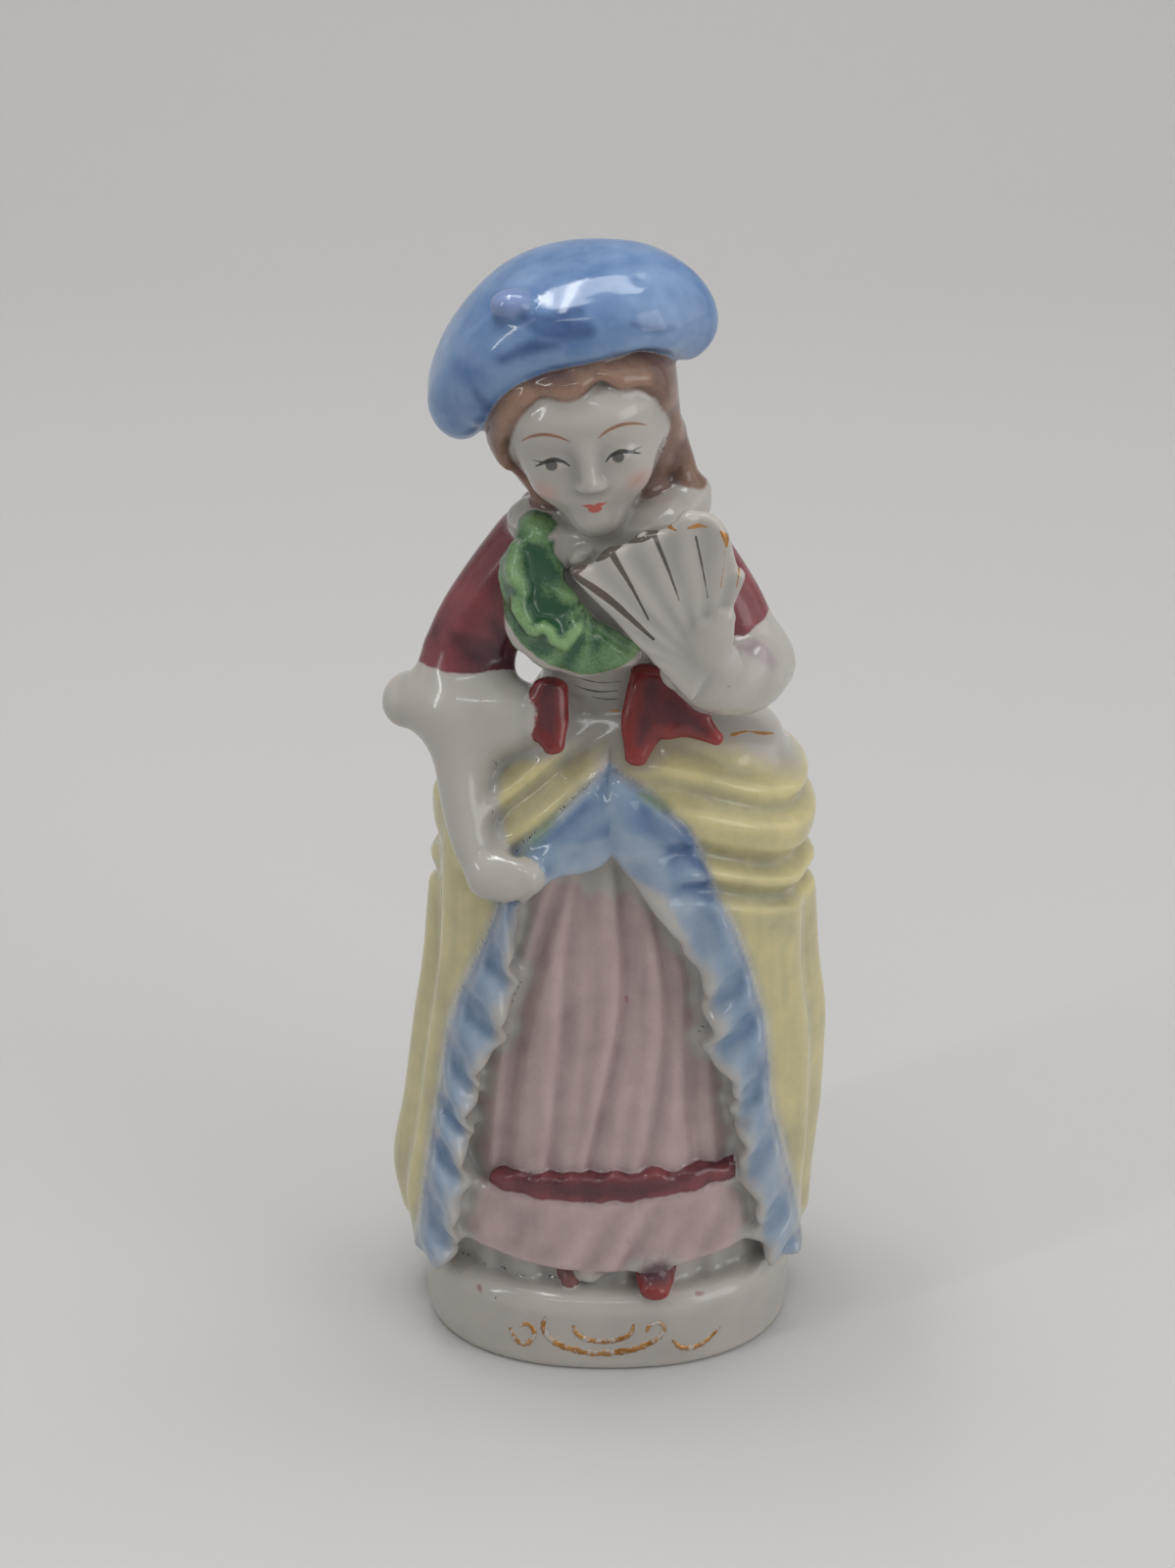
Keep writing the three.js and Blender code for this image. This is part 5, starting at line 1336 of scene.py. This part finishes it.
def enamelled(finish):
    """Hard porcelain with a finish's enamels: a clear, wet-looking glaze over soft brushwork."""
    if finish in bpy.data.materials:
        return bpy.data.materials[finish]
    colours = bpy.context.scene.figurine_colours
    made, tree = fresh(finish)
    place = add(tree, "ShaderNodeTexCoord").outputs["Object"]
    # In millimetres, so a pattern of scale 1 / 7 has spots about 7 mm across. The grain of the
    # ground colour is finer than the 0.3 mm here, and is drawn as coarse as the render shows.
    mm = add(tree, "ShaderNodeVectorMath", {0: place, "Scale": 1 / MM}, operation="SCALE").outputs[0]
    cloud = add(tree, "ShaderNodeTexNoise", {"Vector": mm, "Scale": 1 / 7, "Detail": 1.5})
    blot = add(tree, "ShaderNodeTexNoise", {"Vector": mm, "Scale": 1 / 2.6, "Detail": 2.0})
    down = add(tree, "ShaderNodeMapping", {"Vector": mm, "Scale": (1 / 1.3, 1 / 1.3, 1 / 9)})
    strokes = add(tree, "ShaderNodeTexNoise",
                  {"Vector": down.outputs[0], "Scale": 1.0, "Detail": 1.5})
    grain = add(tree, "ShaderNodeTexNoise", {"Vector": mm, "Scale": 1 / 0.3, "Detail": 1.0})
    ragged = add(tree, "ShaderNodeTexNoise", {"Vector": mm, "Scale": 1 / 1.1, "Detail": 3.0})
    pooling_and_shade = add(tree, "ShaderNodeAttribute", attribute_name="crease").outputs["Fac"]

    # The bare paste: faint clouds in it, greyer in the creases, partly as pooled glaze and partly as
    # painted shade, and a few iron specks.
    deep = add(tree, "ShaderNodeMath", {0: pooling_and_shade, 1: 1.5, 2: -0.33}, operation="MULTIPLY_ADD")
    deep = add(tree, "ShaderNodeMath", {0: cloud.outputs["Fac"], 1: 0.9, 2: deep.outputs[0]},
               operation="MULTIPLY_ADD")
    colour = add(tree, "ShaderNodeMix", {
        0: deep.outputs[0], 6: (*colours.porcelain, 1), 7: (*colours.pooled_glaze_and_shade, 1),
    }, data_type="RGBA").outputs[2]
    speck = add(tree, "ShaderNodeTexVoronoi", {"Vector": mm, "Scale": 1 / 9})
    speck = add(tree, "ShaderNodeMath", {0: speck.outputs["Distance"], 1: 0.17 / 9},
                operation="LESS_THAN")
    colour = add(tree, "ShaderNodeMix", {0: speck.outputs[0], 6: colour, 7: (*linear("#4A403A"), 1)},
                 data_type="RGBA").outputs[2]

    metal, rough = 0.0, 0.12
    relief = add(tree, "ShaderNodeMath", {0: blot.outputs["Fac"], 1: 1.6, 2: 0.0},
                 operation="MULTIPLY_ADD").outputs[0]
    for key in FINISHES[finish]:
        _, soft, frayed, strength, rule, clouds, blots, brushed, grainy, pooled_and_shaded = ENAMELS[key]
        mixed = MIXED.get(key)
        thin = linear(mixed[0]) if mixed else getattr(colours, key + "_thin")
        thick = linear(mixed[1]) if mixed else getattr(colours, key + "_thick")
        inside = add(tree, "ShaderNodeAttribute", attribute_name=key).outputs["Fac"]
        edge = add(tree, "ShaderNodeMath", {0: ragged.outputs["Fac"], 1: frayed, 2: inside},
                   operation="MULTIPLY_ADD")
        # Stored values are 1 at the edge of the enamel and grow inwards.
        middle = 1 + frayed / 2
        cover = add(tree, "ShaderNodeMapRange", {
            0: edge.outputs[0], 1: middle - soft / 2, 2: middle + soft / 2, 3: 0.0, 4: strength,
        }, interpolation_type="SMOOTHSTEP").outputs[0]
        # Deeper in creases and thinner on crests: partly the enamel's pooling, partly painted shade
        # and light.
        depth = add(tree, "ShaderNodeMath", {
            0: pooling_and_shade, 1: pooled_and_shaded, 2: rule - (clouds + blots + brushed + grainy) / 2,
        }, operation="MULTIPLY_ADD")
        for pattern, much in ((cloud, clouds), (blot, blots), (strokes, brushed), (grain, grainy)):
            if much:
                depth = add(tree, "ShaderNodeMath", {
                    0: pattern.outputs["Fac"], 1: much, 2: depth.outputs[0],
                }, operation="MULTIPLY_ADD")
        depth = add(tree, "ShaderNodeClamp", {0: depth.outputs[0]}).outputs[0]
        wash = add(tree, "ShaderNodeMix", {0: depth, 6: (*thin, 1), 7: (*thick, 1)},
                   data_type="RGBA").outputs[2]
        colour = add(tree, "ShaderNodeMix", {0: cover, 6: colour, 7: wash},
                     data_type="RGBA").outputs[2]
        if key == "gold":
            metal = add(tree, "ShaderNodeMath", {0: cover, 1: 0.55}, operation="MULTIPLY").outputs[0]
        if key in ("red", "scarlet", "green", "gold"):
            rough = add(tree, "ShaderNodeMix", {0: cover, 2: rough, 3: 0.2}).outputs[0]
            body = add(tree, "ShaderNodeMath", {0: grain.outputs["Fac"], 1: 0.5, 2: 0.8},
                       operation="MULTIPLY_ADD").outputs[0]
            relief = add(tree, "ShaderNodeMath", {0: cover, 1: body, 2: relief},
                         operation="MULTIPLY_ADD").outputs[0]
    # A height of 1 is 0.02 mm, about the depth of the enamel.
    bump = add(tree, "ShaderNodeBump", {"Strength": 0.6, "Distance": 0.02 * MM, "Height": relief})
    shader = add(tree, "ShaderNodeBsdfPrincipled", {
        "Base Color": colour, "Metallic": metal, "Roughness": rough, "IOR": 1.5,
        "Normal": bump.outputs[0],
    })
    add(tree, "ShaderNodeOutputMaterial", {"Surface": shader.outputs[0]})
    return made


def worn_gilding():
    """Liquid bright gold, brushed on and fired: thin, warm and rubbed through in places."""
    made, tree = fresh("worn_bright_gilding")
    colours = bpy.context.scene.figurine_colours
    place = add(tree, "ShaderNodeTexCoord").outputs["Object"]
    mm = add(tree, "ShaderNodeVectorMath", {0: place, "Scale": 1 / MM}, operation="SCALE").outputs[0]
    rub = add(tree, "ShaderNodeTexNoise", {"Vector": mm, "Scale": 1 / 0.8, "Detail": 3.0})
    tone = add(tree, "ShaderNodeTexNoise", {"Vector": mm, "Scale": 1 / 1.9, "Detail": 2.0})
    left = add(tree, "ShaderNodeMapRange", {0: rub.outputs["Fac"], 1: 0.38, 2: 0.5}).outputs[0]
    dark = add(tree, "ShaderNodeMapRange", {0: tone.outputs["Fac"], 1: 0.4, 2: 0.65}).outputs[0]
    thin, thick = (linear(code) for code in MIXED["gold"])
    leaf = add(tree, "ShaderNodeMix", {0: dark, 6: (*thin, 1), 7: (*thick, 1)}, data_type="RGBA")
    colour = add(tree, "ShaderNodeMix", {0: left, 6: (*colours.porcelain, 1), 7: leaf.outputs[2]},
                 data_type="RGBA").outputs[2]
    rough = add(tree, "ShaderNodeMix", {0: left, 2: 0.14, 3: 0.3}).outputs[0]
    shader = add(tree, "ShaderNodeBsdfPrincipled",
                 {"Base Color": colour, "Metallic": left, "Roughness": rough, "IOR": 1.5})
    add(tree, "ShaderNodeOutputMaterial", {"Surface": shader.outputs[0]})
    return made


# Making the pieces.
def put(name, p, faces, normal, values):
    """A mesh object from points in mm, four-sided faces, directions and painted values."""
    mesh = bpy.data.meshes.new(name)
    mesh.vertices.add(len(p))
    mesh.vertices.foreach_set("co", (p * MM).astype(np.float32).ravel())
    mesh.loops.add(faces.size)
    mesh.loops.foreach_set("vertex_index", faces.astype(np.int32).ravel())
    mesh.polygons.add(len(faces))
    mesh.polygons.foreach_set("loop_start", np.arange(0, faces.size, 4, dtype=np.int32))
    mesh.polygons.foreach_set("use_smooth", np.ones(len(faces), bool))
    mesh.update(calc_edges=True)
    if normal is not None:
        mesh.normals_split_custom_set_from_vertices(normal.astype(np.float32))
    for key, value in values.items():
        store = mesh.attributes.new(key, "FLOAT", "POINT")
        store.data.foreach_set("value", value.astype(np.float32))
    made = bpy.data.objects.new(name, mesh)
    bpy.context.scene.collection.objects.link(made)
    return made


# The slot in the record and the finish of each clay piece.
DRESS = {piece: (slot, finish) for slot, finish, pieces in (
    ("white_porcelain", "clear_glazed_white_porcelain",
     "plinth torso neck right_cuff left_cuff right_forearm right_hand left_hand neck_frill"),
    ("white_porcelain", "face_painted_porcelain", "head"),
    ("white_porcelain", "gold_lined_porcelain", "fan"),
    ("pink_enamel", "rose_washed_porcelain", "petticoat flounce"),
    ("red_enamel", "rose_washed_porcelain", "flounce_ribbon left_shoe right_shoe"),
    ("red_enamel", "maroon_enamelled_porcelain", "right_sleeve left_sleeve right_tail left_tail"),
    ("yellow_enamel", "lemon_washed_porcelain", "gown_train left_pannier right_pannier"),
    ("blue_enamel", "blue_edged_porcelain", "left_border right_border"),
    ("blue_enamel", "blue_washed_porcelain", "beret beret_button"),
    ("brown_enamel", "umber_brushed_porcelain", "hair hair_lock"),
    ("green_enamel", "copper_green_enamelled_porcelain", "collar collar_frill"),
) for piece in pieces.split()}
# How often the net of a piece is cut finer, so that it can carry thin brush lines.
CUT_FINER = {"torso": 1, "head": 2, "fan": 2}


def fire(*nodes):
    """Makes the fired and painted pieces that stand for CAD nodes."""
    for node in nodes:
        slot, finish = DRESS[node]
        p, faces, normal, crease = part_of_skin(node)
        for _ in range(CUT_FINER.get(node, 0)):
            p, faces, normal, crease = refined(p, faces, normal, crease)
        _, near = in_batches(p, BLOCK_NEAR, clay)
        skin = Skin(p, near)
        values = {"crease": crease}
        for key in FINISHES[finish]:
            values[key] = np.clip(1 - ENAMELS[key][0](skin), 0, 4)
        made = put("fired_" + node, p, faces, normal, values)
        made.data.materials.append(enamelled(finish))
        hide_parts(node)
        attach(made, "root")


# Painted scrolls on the plinth's front wall: node, lines through [x, z, half width].
SCROLLS = {
    "garland_scroll": [
        [(-7.0, 6.9, 0.16), (-7.3, 5.6, 0.28), (-6.7, 4.2, 0.34), (-5.2, 3.2, 0.38),
         (-2.1, 2.5, 0.42), (1.2, 2.6, 0.42), (3.8, 3.2, 0.38), (5.7, 4.3, 0.32),
         (6.3, 5.6, 0.26), (5.6, 6.3, 0.24), (4.6, 5.9, 0.2), (4.4, 5.2, 0.14)],
    ],
    "centre_scroll": [
        [(-3.9, 6.1, 0.14), (-3.5, 5.0, 0.26), (-2.4, 4.3, 0.32), (-0.6, 4.05, 0.34),
         (1.2, 4.3, 0.32), (2.5, 5.0, 0.26), (2.9, 6.3, 0.14)],
    ],
    "right_scroll": [
        [(-11.0, 4.6, 0.16), (-10.6, 3.4, 0.3), (-9.6, 2.8, 0.34), (-8.7, 3.4, 0.3),
         (-8.3, 4.6, 0.28), (-9.0, 5.6, 0.26), (-9.9, 5.2, 0.16)],
    ],
    "left_scroll": [
        [(7.3, 3.7, 0.14), (8.3, 2.5, 0.3), (9.6, 2.3, 0.34), (11.2, 2.8, 0.28), (12.7, 4.2, 0.12)],
    ],
}


# The ribbon's section: places across as shares of its half width, and out from the wall in mm.
GILT_SECTION = [(-1, -0.12), (-0.96, 0.03), (-0.6, 0.09), (0, 0.12), (0.6, 0.09), (0.96, 0.03),
                (1, -0.12), (0, -0.14)]


def gild(node):
    """A thin, uneven ribbon of gold laid along its line on the plinth's wall."""
    spots, faces = [], []
    for points in SCROLLS[node]:
        line, _ = rail(points, 14 * (len(points) - 1))
        x, z, half = line.T
        along = np.arange(len(line))
        half = half * (1 + 0.16 * np.sin(along * 0.9) + 0.1 * np.sin(along * 2.3 + 1))
        wide, deep = PLINTH_HALF_WIDE, PLINTH_HALF_DEEP
        y = -deep * (1 - (np.abs(x) / wide) ** OVAL) ** (1 / OVAL)
        middle = np.column_stack([x, y, z])
        out = np.column_stack([
            np.sign(x) * (np.abs(x) / wide) ** (OVAL - 1) / wide,
            -((np.abs(y) / deep) ** (OVAL - 1)) / deep, 0 * x])
        out /= np.linalg.norm(out, axis=1)[:, None]
        way = np.gradient(middle, axis=0)
        across = np.cross(out, way)
        across /= np.linalg.norm(across, axis=1)[:, None]
        sides = len(GILT_SECTION)
        start = len(spots)
        for at, o, c, w in zip(middle, out, across, half):
            spots += [at + c * u * w + o * v for u, v in GILT_SECTION]
        for a in range(start, len(spots) - sides, sides):
            for j in range(sides):
                k = (j + 1) % sides
                faces.append((a + j, a + k, a + sides + k, a + sides + j))
        for a, turn in ((start, 1), (len(spots) - sides, -1)):
            for j in range(1, sides - 1, 2):
                cap = (a, a + j, a + j + 1, a + (j + 2) % sides)
                faces.append(cap[::turn])
    made = put("gilt_" + node, np.array(spots), np.array(faces), None, {})
    made.data.materials.append(bpy.data.materials.get("worn_bright_gilding") or worn_gilding())
    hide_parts(node)
    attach(made, "root")


# Where the photograph was taken from, as seen in its 1199 x 1600 frame.
FRAME_HIGH = 1600  # pixels
FOCAL_LENGTH = 3740  # the same pixels
ELEVATION = 27  # degrees above level
DISTANCE = 0.4
AIM = (-0.0023, 0.0, 0.0655)
MIDDLE = (0, 0, 0.06)  # what the lamps above light
CHEST = (0, 0, 0.07)  # what the lamps at the sides light
# Lamps: name, place, aim, size and power in watts.
LAMPS = (
    ("top_softbox", (0.0, 0.1, 0.8), MIDDLE, (0.6, 0.2), 2.0),
    ("top_strip", (-0.14, 0.02, 0.7), MIDDLE, (0.4, 0.05), 0.6),
    ("front_strip", (-0.1, -0.55, 0.75), MIDDLE, (0.4, 0.015), 0.3),
    ("left_strip", (-0.55, -0.35, 0.5), CHEST, (0.02, 0.4), 0.5),
    ("right_softbox", (0.6, -0.45, 0.3), CHEST, (0.4, 0.5), 1.2),
)
SWEEP_HALF_WIDE = 1.5
SWEEP_BEND = 0.35  # radius, and where behind the figure it starts


def matt_paper():
    """Uncoated background paper: one even pale grey without a sheen."""
    made, tree = fresh("matt_paper")
    shader = add(tree, "ShaderNodeBsdfPrincipled",
                 {"Base Color": (*linear("#C2C1C0"), 1), "Roughness": 0.9})
    add(tree, "ShaderNodeOutputMaterial", {"Surface": shader.outputs[0]})
    return made


def sweep():
    """A sheet of paper for a floor, that curves up into the backdrop."""
    profile = [(-0.9, 0.0), (SWEEP_BEND, 0.0)]
    for k in range(1, 13):
        a = math.radians(90 * k / 12)
        profile.append((SWEEP_BEND * (1 + math.sin(a)), SWEEP_BEND * (1 - math.cos(a))))
    profile.append((2 * SWEEP_BEND, 1.4))
    verts, faces = [], []
    for y, z in profile:
        verts += [(-SWEEP_HALF_WIDE, y, z), (SWEEP_HALF_WIDE, y, z)]
    for k in range(len(profile) - 1):
        faces.append((2 * k, 2 * k + 1, 2 * k + 3, 2 * k + 2))
    mesh = bpy.data.meshes.new("paper_sweep")
    mesh.from_pydata(verts, [], faces)
    mesh.shade_smooth()
    mesh.materials.append(matt_paper())
    made = bpy.data.objects.new("paper_sweep", mesh)
    bpy.context.scene.collection.objects.link(made)


def studio():
    """A pale room, darker in front of the lady and brighter on her left."""
    world = bpy.data.worlds.new("studio")
    bpy.context.scene.world = world
    world.use_nodes = True
    room = world.node_tree
    round_about = add(room, "ShaderNodeTexCoord").outputs["Generated"]
    way = add(room, "ShaderNodeSeparateXYZ", {0: round_about})
    ahead = add(room, "ShaderNodeMapRange", {0: way.outputs["Y"], 1: -0.2, 2: -0.85, 3: 0.7, 4: 0.38},
                interpolation_type="SMOOTHSTEP")
    wall = add(room, "ShaderNodeMath", {0: way.outputs["X"], 1: 0.2, 2: ahead.outputs[0]},
               operation="MULTIPLY_ADD")
    sky = room.nodes["Background"]
    sky.inputs[0].default_value = (1.0, 1.0, 1.0, 1)
    room.links.new(wall.outputs[0], sky.inputs[1])
    for name, place, aim, size, power in LAMPS:
        light = bpy.data.lights.new(name, "AREA")
        light.shape = "RECTANGLE"
        light.size, light.size_y = size
        light.energy = power
        lamp = bpy.data.objects.new(name, light)
        lamp.location = place
        turn = (Vector(aim) - Vector(place)).to_track_quat("-Z", "Y")
        lamp.rotation_euler = turn.to_euler()
        bpy.context.scene.collection.objects.link(lamp)


def camera():
    """The camera, at the photograph's angle."""
    lens = bpy.data.cameras.new("camera")
    made = bpy.data.objects.new("camera", lens)
    bpy.context.scene.collection.objects.link(made)
    bpy.context.scene.camera = made
    lens.sensor_fit = "AUTO"
    lens.sensor_width = 36
    lens.lens = lens.sensor_width * FOCAL_LENGTH / FRAME_HIGH
    lens.clip_start = 0.01
    rise = math.radians(ELEVATION)
    made.location = (AIM[0], AIM[1] - DISTANCE * math.cos(rise), AIM[2] + DISTANCE * math.sin(rise))
    made.rotation_euler = (math.radians(90 - ELEVATION), 0, 0)


# The tool's settings.
class FigurineSizes(bpy.types.PropertyGroup):
    detail: FloatProperty(
        name="Detail", description="Spacing of the fired skin's net", default=0.0003,
        min=0.0001, max=0.002, unit="LENGTH", precision=5)
    cast_wall: FloatProperty(
        name="Cast wall", description="Thickness of the slip-cast wall", default=0.0026,
        min=0.0015, max=0.004, unit="LENGTH", precision=5)
    vent: FloatProperty(
        name="Vent", description="Width of the vent hole under the plinth", default=0.007,
        min=0.004, max=0.012, unit="LENGTH", precision=5)
    pleats: FloatProperty(
        name="Pleats", description="How deep the petticoat's pleats are, as a share", default=1.0,
        min=0.0, max=1.6)
    swags: FloatProperty(
        name="Swags", description="How deep the overskirt's swags are, as a share", default=1.0,
        min=0.0, max=1.5)
    ruffles: FloatProperty(
        name="Ruffles", description="How deep the edging's ruffles are, as a share", default=1.0,
        min=0.0, max=1.5)


def hue(name, code):
    return FloatVectorProperty(
        name=name, description="Colour of the " + name.lower(), subtype="COLOR", size=3,
        default=linear(code), min=0.0, max=1.0)


class FigurineColours(bpy.types.PropertyGroup):
    porcelain: hue("Porcelain", "#B4AEA7")
    # Pooled glaze in the creases, which also stands for painted shade there; each wash's thick end
    # below is laid into the creases the same way.
    pooled_glaze_and_shade: hue("Pooled glaze", "#837F7C")
    yellow_thin: hue("Lemon wash, thin", "#D0C48C")
    yellow_thick: hue("Lemon wash, thick", "#8F8D72")
    blue_thin: hue("Blue wash, thin", "#7E99BD")
    blue_thick: hue("Blue wash, thick", "#4D6F9D")
    edging_blue_thin: hue("Edging's blue, thin", "#9AA9B8")
    edging_blue_thick: hue("Edging's blue, thick", "#6B86A6")
    pink_thin: hue("Rose wash, thin", "#B8A29F")
    pink_thick: hue("Rose wash, thick", "#8F7B7A")
    red_thin: hue("Maroon, thin", "#8A474B")
    red_thick: hue("Maroon, thick", "#552E33")
    scarlet_thin: hue("Scarlet, thin", "#8F3534")
    scarlet_thick: hue("Scarlet, thick", "#5A282B")
    green_thin: hue("Copper green, thin", "#86A874")
    green_thick: hue("Copper green, thick", "#2C573B")
    brown_thin: hue("Umber, thin", "#957361")
    brown_thick: hue("Umber, thick", "#553D36")


# Operators.
class FIGURINE_OT_plinth(bpy.types.Operator):
    """Casts the oval plinth, hollow, with its vent"""

    bl_idname = "figurine.plinth"
    bl_label = "Plinth"

    def execute(self, context):
        fire("plinth")
        return {"FINISHED"}


class FIGURINE_OT_scrolls(bpy.types.Operator):
    """Lays the four gilt scrolls on the plinth's front"""

    bl_idname = "figurine.scrolls"
    bl_label = "Gilt scrolls"

    def execute(self, context):
        for node in SCROLLS:
            gild(node)
        return {"FINISHED"}


class FIGURINE_OT_petticoat(bpy.types.Operator):
    """Casts the pleated petticoat with its flounce and ribbon"""

    bl_idname = "figurine.petticoat"
    bl_label = "Petticoat"

    def execute(self, context):
        fire("petticoat", "flounce", "flounce_ribbon")
        return {"FINISHED"}


class FIGURINE_OT_gown(bpy.types.Operator):
    """Casts the open gown: its train and the two swagged panniers"""

    bl_idname = "figurine.gown"
    bl_label = "Gown"

    def execute(self, context):
        fire("gown_train", "left_pannier", "right_pannier")
        return {"FINISHED"}


class FIGURINE_OT_edging(bpy.types.Operator):
    """Presses the gown's two ruffled edgings"""

    bl_idname = "figurine.edging"
    bl_label = "Ruffled edging"

    def execute(self, context):
        fire("left_border", "right_border")
        return {"FINISHED"}


class FIGURINE_OT_torso(bpy.types.Operator):
    """Casts the torso"""

    bl_idname = "figurine.torso"
    bl_label = "Torso"

    def execute(self, context):
        fire("torso")
        return {"FINISHED"}


class FIGURINE_OT_head(bpy.types.Operator):
    """Casts the head and neck, and paints the doll's face"""

    bl_idname = "figurine.head"
    bl_label = "Head"

    def execute(self, context):
        fire("head", "neck")
        return {"FINISHED"}


class FIGURINE_OT_hair(bpy.types.Operator):
    """Presses the hair and its side lock"""

    bl_idname = "figurine.hair"
    bl_label = "Hair"

    def execute(self, context):
        fire("hair", "hair_lock")
        return {"FINISHED"}


class FIGURINE_OT_beret(bpy.types.Operator):
    """Presses the drooping beret and its button"""

    bl_idname = "figurine.beret"
    bl_label = "Beret"

    def execute(self, context):
        fire("beret", "beret_button")
        return {"FINISHED"}


class FIGURINE_OT_sleeves(bpy.types.Operator):
    """Rolls the sleeves and their cuffs"""

    bl_idname = "figurine.sleeves"
    bl_label = "Sleeves and cuffs"

    def execute(self, context):
        fire("right_sleeve", "left_sleeve", "right_cuff", "left_cuff")
        return {"FINISHED"}


class FIGURINE_OT_hands(bpy.types.Operator):
    """Rolls the forearm and both hands"""

    bl_idname = "figurine.hands"
    bl_label = "Forearm and hands"

    def execute(self, context):
        fire("right_forearm", "right_hand", "left_hand")
        return {"FINISHED"}


class FIGURINE_OT_fan(bpy.types.Operator):
    """Presses the fluted fan and lines it"""

    bl_idname = "figurine.fan"
    bl_label = "Fan"

    def execute(self, context):
        fire("fan")
        return {"FINISHED"}


class FIGURINE_OT_collar(bpy.types.Operator):
    """Presses the green collar, its frill and the white neck frill"""

    bl_idname = "figurine.collar"
    bl_label = "Collar and frills"

    def execute(self, context):
        fire("collar", "collar_frill", "neck_frill")
        return {"FINISHED"}


class FIGURINE_OT_tails(bpy.types.Operator):
    """Presses the jacket's two tails"""

    bl_idname = "figurine.tails"
    bl_label = "Jacket tails"

    def execute(self, context):
        fire("right_tail", "left_tail")
        return {"FINISHED"}


class FIGURINE_OT_shoes(bpy.types.Operator):
    """Rolls the two shoes"""

    bl_idname = "figurine.shoes"
    bl_label = "Shoes"

    def execute(self, context):
        fire("left_shoe", "right_shoe")
        return {"FINISHED"}


class FIGURINE_OT_stage(bpy.types.Operator):
    """Sets the pale sweep, the lamps and the camera"""

    bl_idname = "figurine.stage"
    bl_label = "Stage"

    def execute(self, context):
        context.scene.view_settings.view_transform = "Standard"
        sweep()
        studio()
        camera()
        return {"FINISHED"}


OPERATORS = (
    FIGURINE_OT_plinth, FIGURINE_OT_scrolls, FIGURINE_OT_petticoat, FIGURINE_OT_gown,
    FIGURINE_OT_edging, FIGURINE_OT_torso, FIGURINE_OT_head, FIGURINE_OT_hair,
    FIGURINE_OT_beret, FIGURINE_OT_sleeves, FIGURINE_OT_hands, FIGURINE_OT_fan,
    FIGURINE_OT_collar, FIGURINE_OT_tails, FIGURINE_OT_shoes, FIGURINE_OT_stage,
)


class FIGURINE_PT_panel(bpy.types.Panel):
    """The figurine's sizes, colours and pieces"""

    bl_label = "Figurine"
    bl_idname = "FIGURINE_PT_panel"
    bl_space_type = "VIEW_3D"
    bl_region_type = "UI"
    bl_category = "Figurine"

    def draw(self, context):
        for title, group in (("Sizes", context.scene.figurine_sizes),
                             ("Colours", context.scene.figurine_colours)):
            box = self.layout.box()
            box.label(text=title)
            for key in group.bl_rna.properties.keys():
                if key not in ("rna_type", "name"):
                    box.prop(group, key)
        for operator in OPERATORS:
            self.layout.operator(operator.bl_idname)


CLASSES = (FigurineSizes, FigurineColours, *OPERATORS, FIGURINE_PT_panel)


def register():
    for one in CLASSES:
        bpy.utils.register_class(one)
    bpy.types.Scene.figurine_sizes = PointerProperty(type=FigurineSizes)
    bpy.types.Scene.figurine_colours = PointerProperty(type=FigurineColours)


def unregister():
    del bpy.types.Scene.figurine_colours
    del bpy.types.Scene.figurine_sizes
    for one in reversed(CLASSES):
        bpy.utils.unregister_class(one)


def main():
    register()
    bpy.ops.figurine.plinth()
    bpy.ops.figurine.scrolls()
    bpy.ops.figurine.petticoat()
    bpy.ops.figurine.gown()
    bpy.ops.figurine.edging()
    bpy.ops.figurine.torso()
    bpy.ops.figurine.head()
    bpy.ops.figurine.hair()
    bpy.ops.figurine.beret()
    bpy.ops.figurine.sleeves()
    bpy.ops.figurine.hands()
    bpy.ops.figurine.fan()
    bpy.ops.figurine.collar()
    bpy.ops.figurine.tails()
    bpy.ops.figurine.shoes()
    bpy.ops.figurine.stage()


if __name__ == "__main__":
    main()
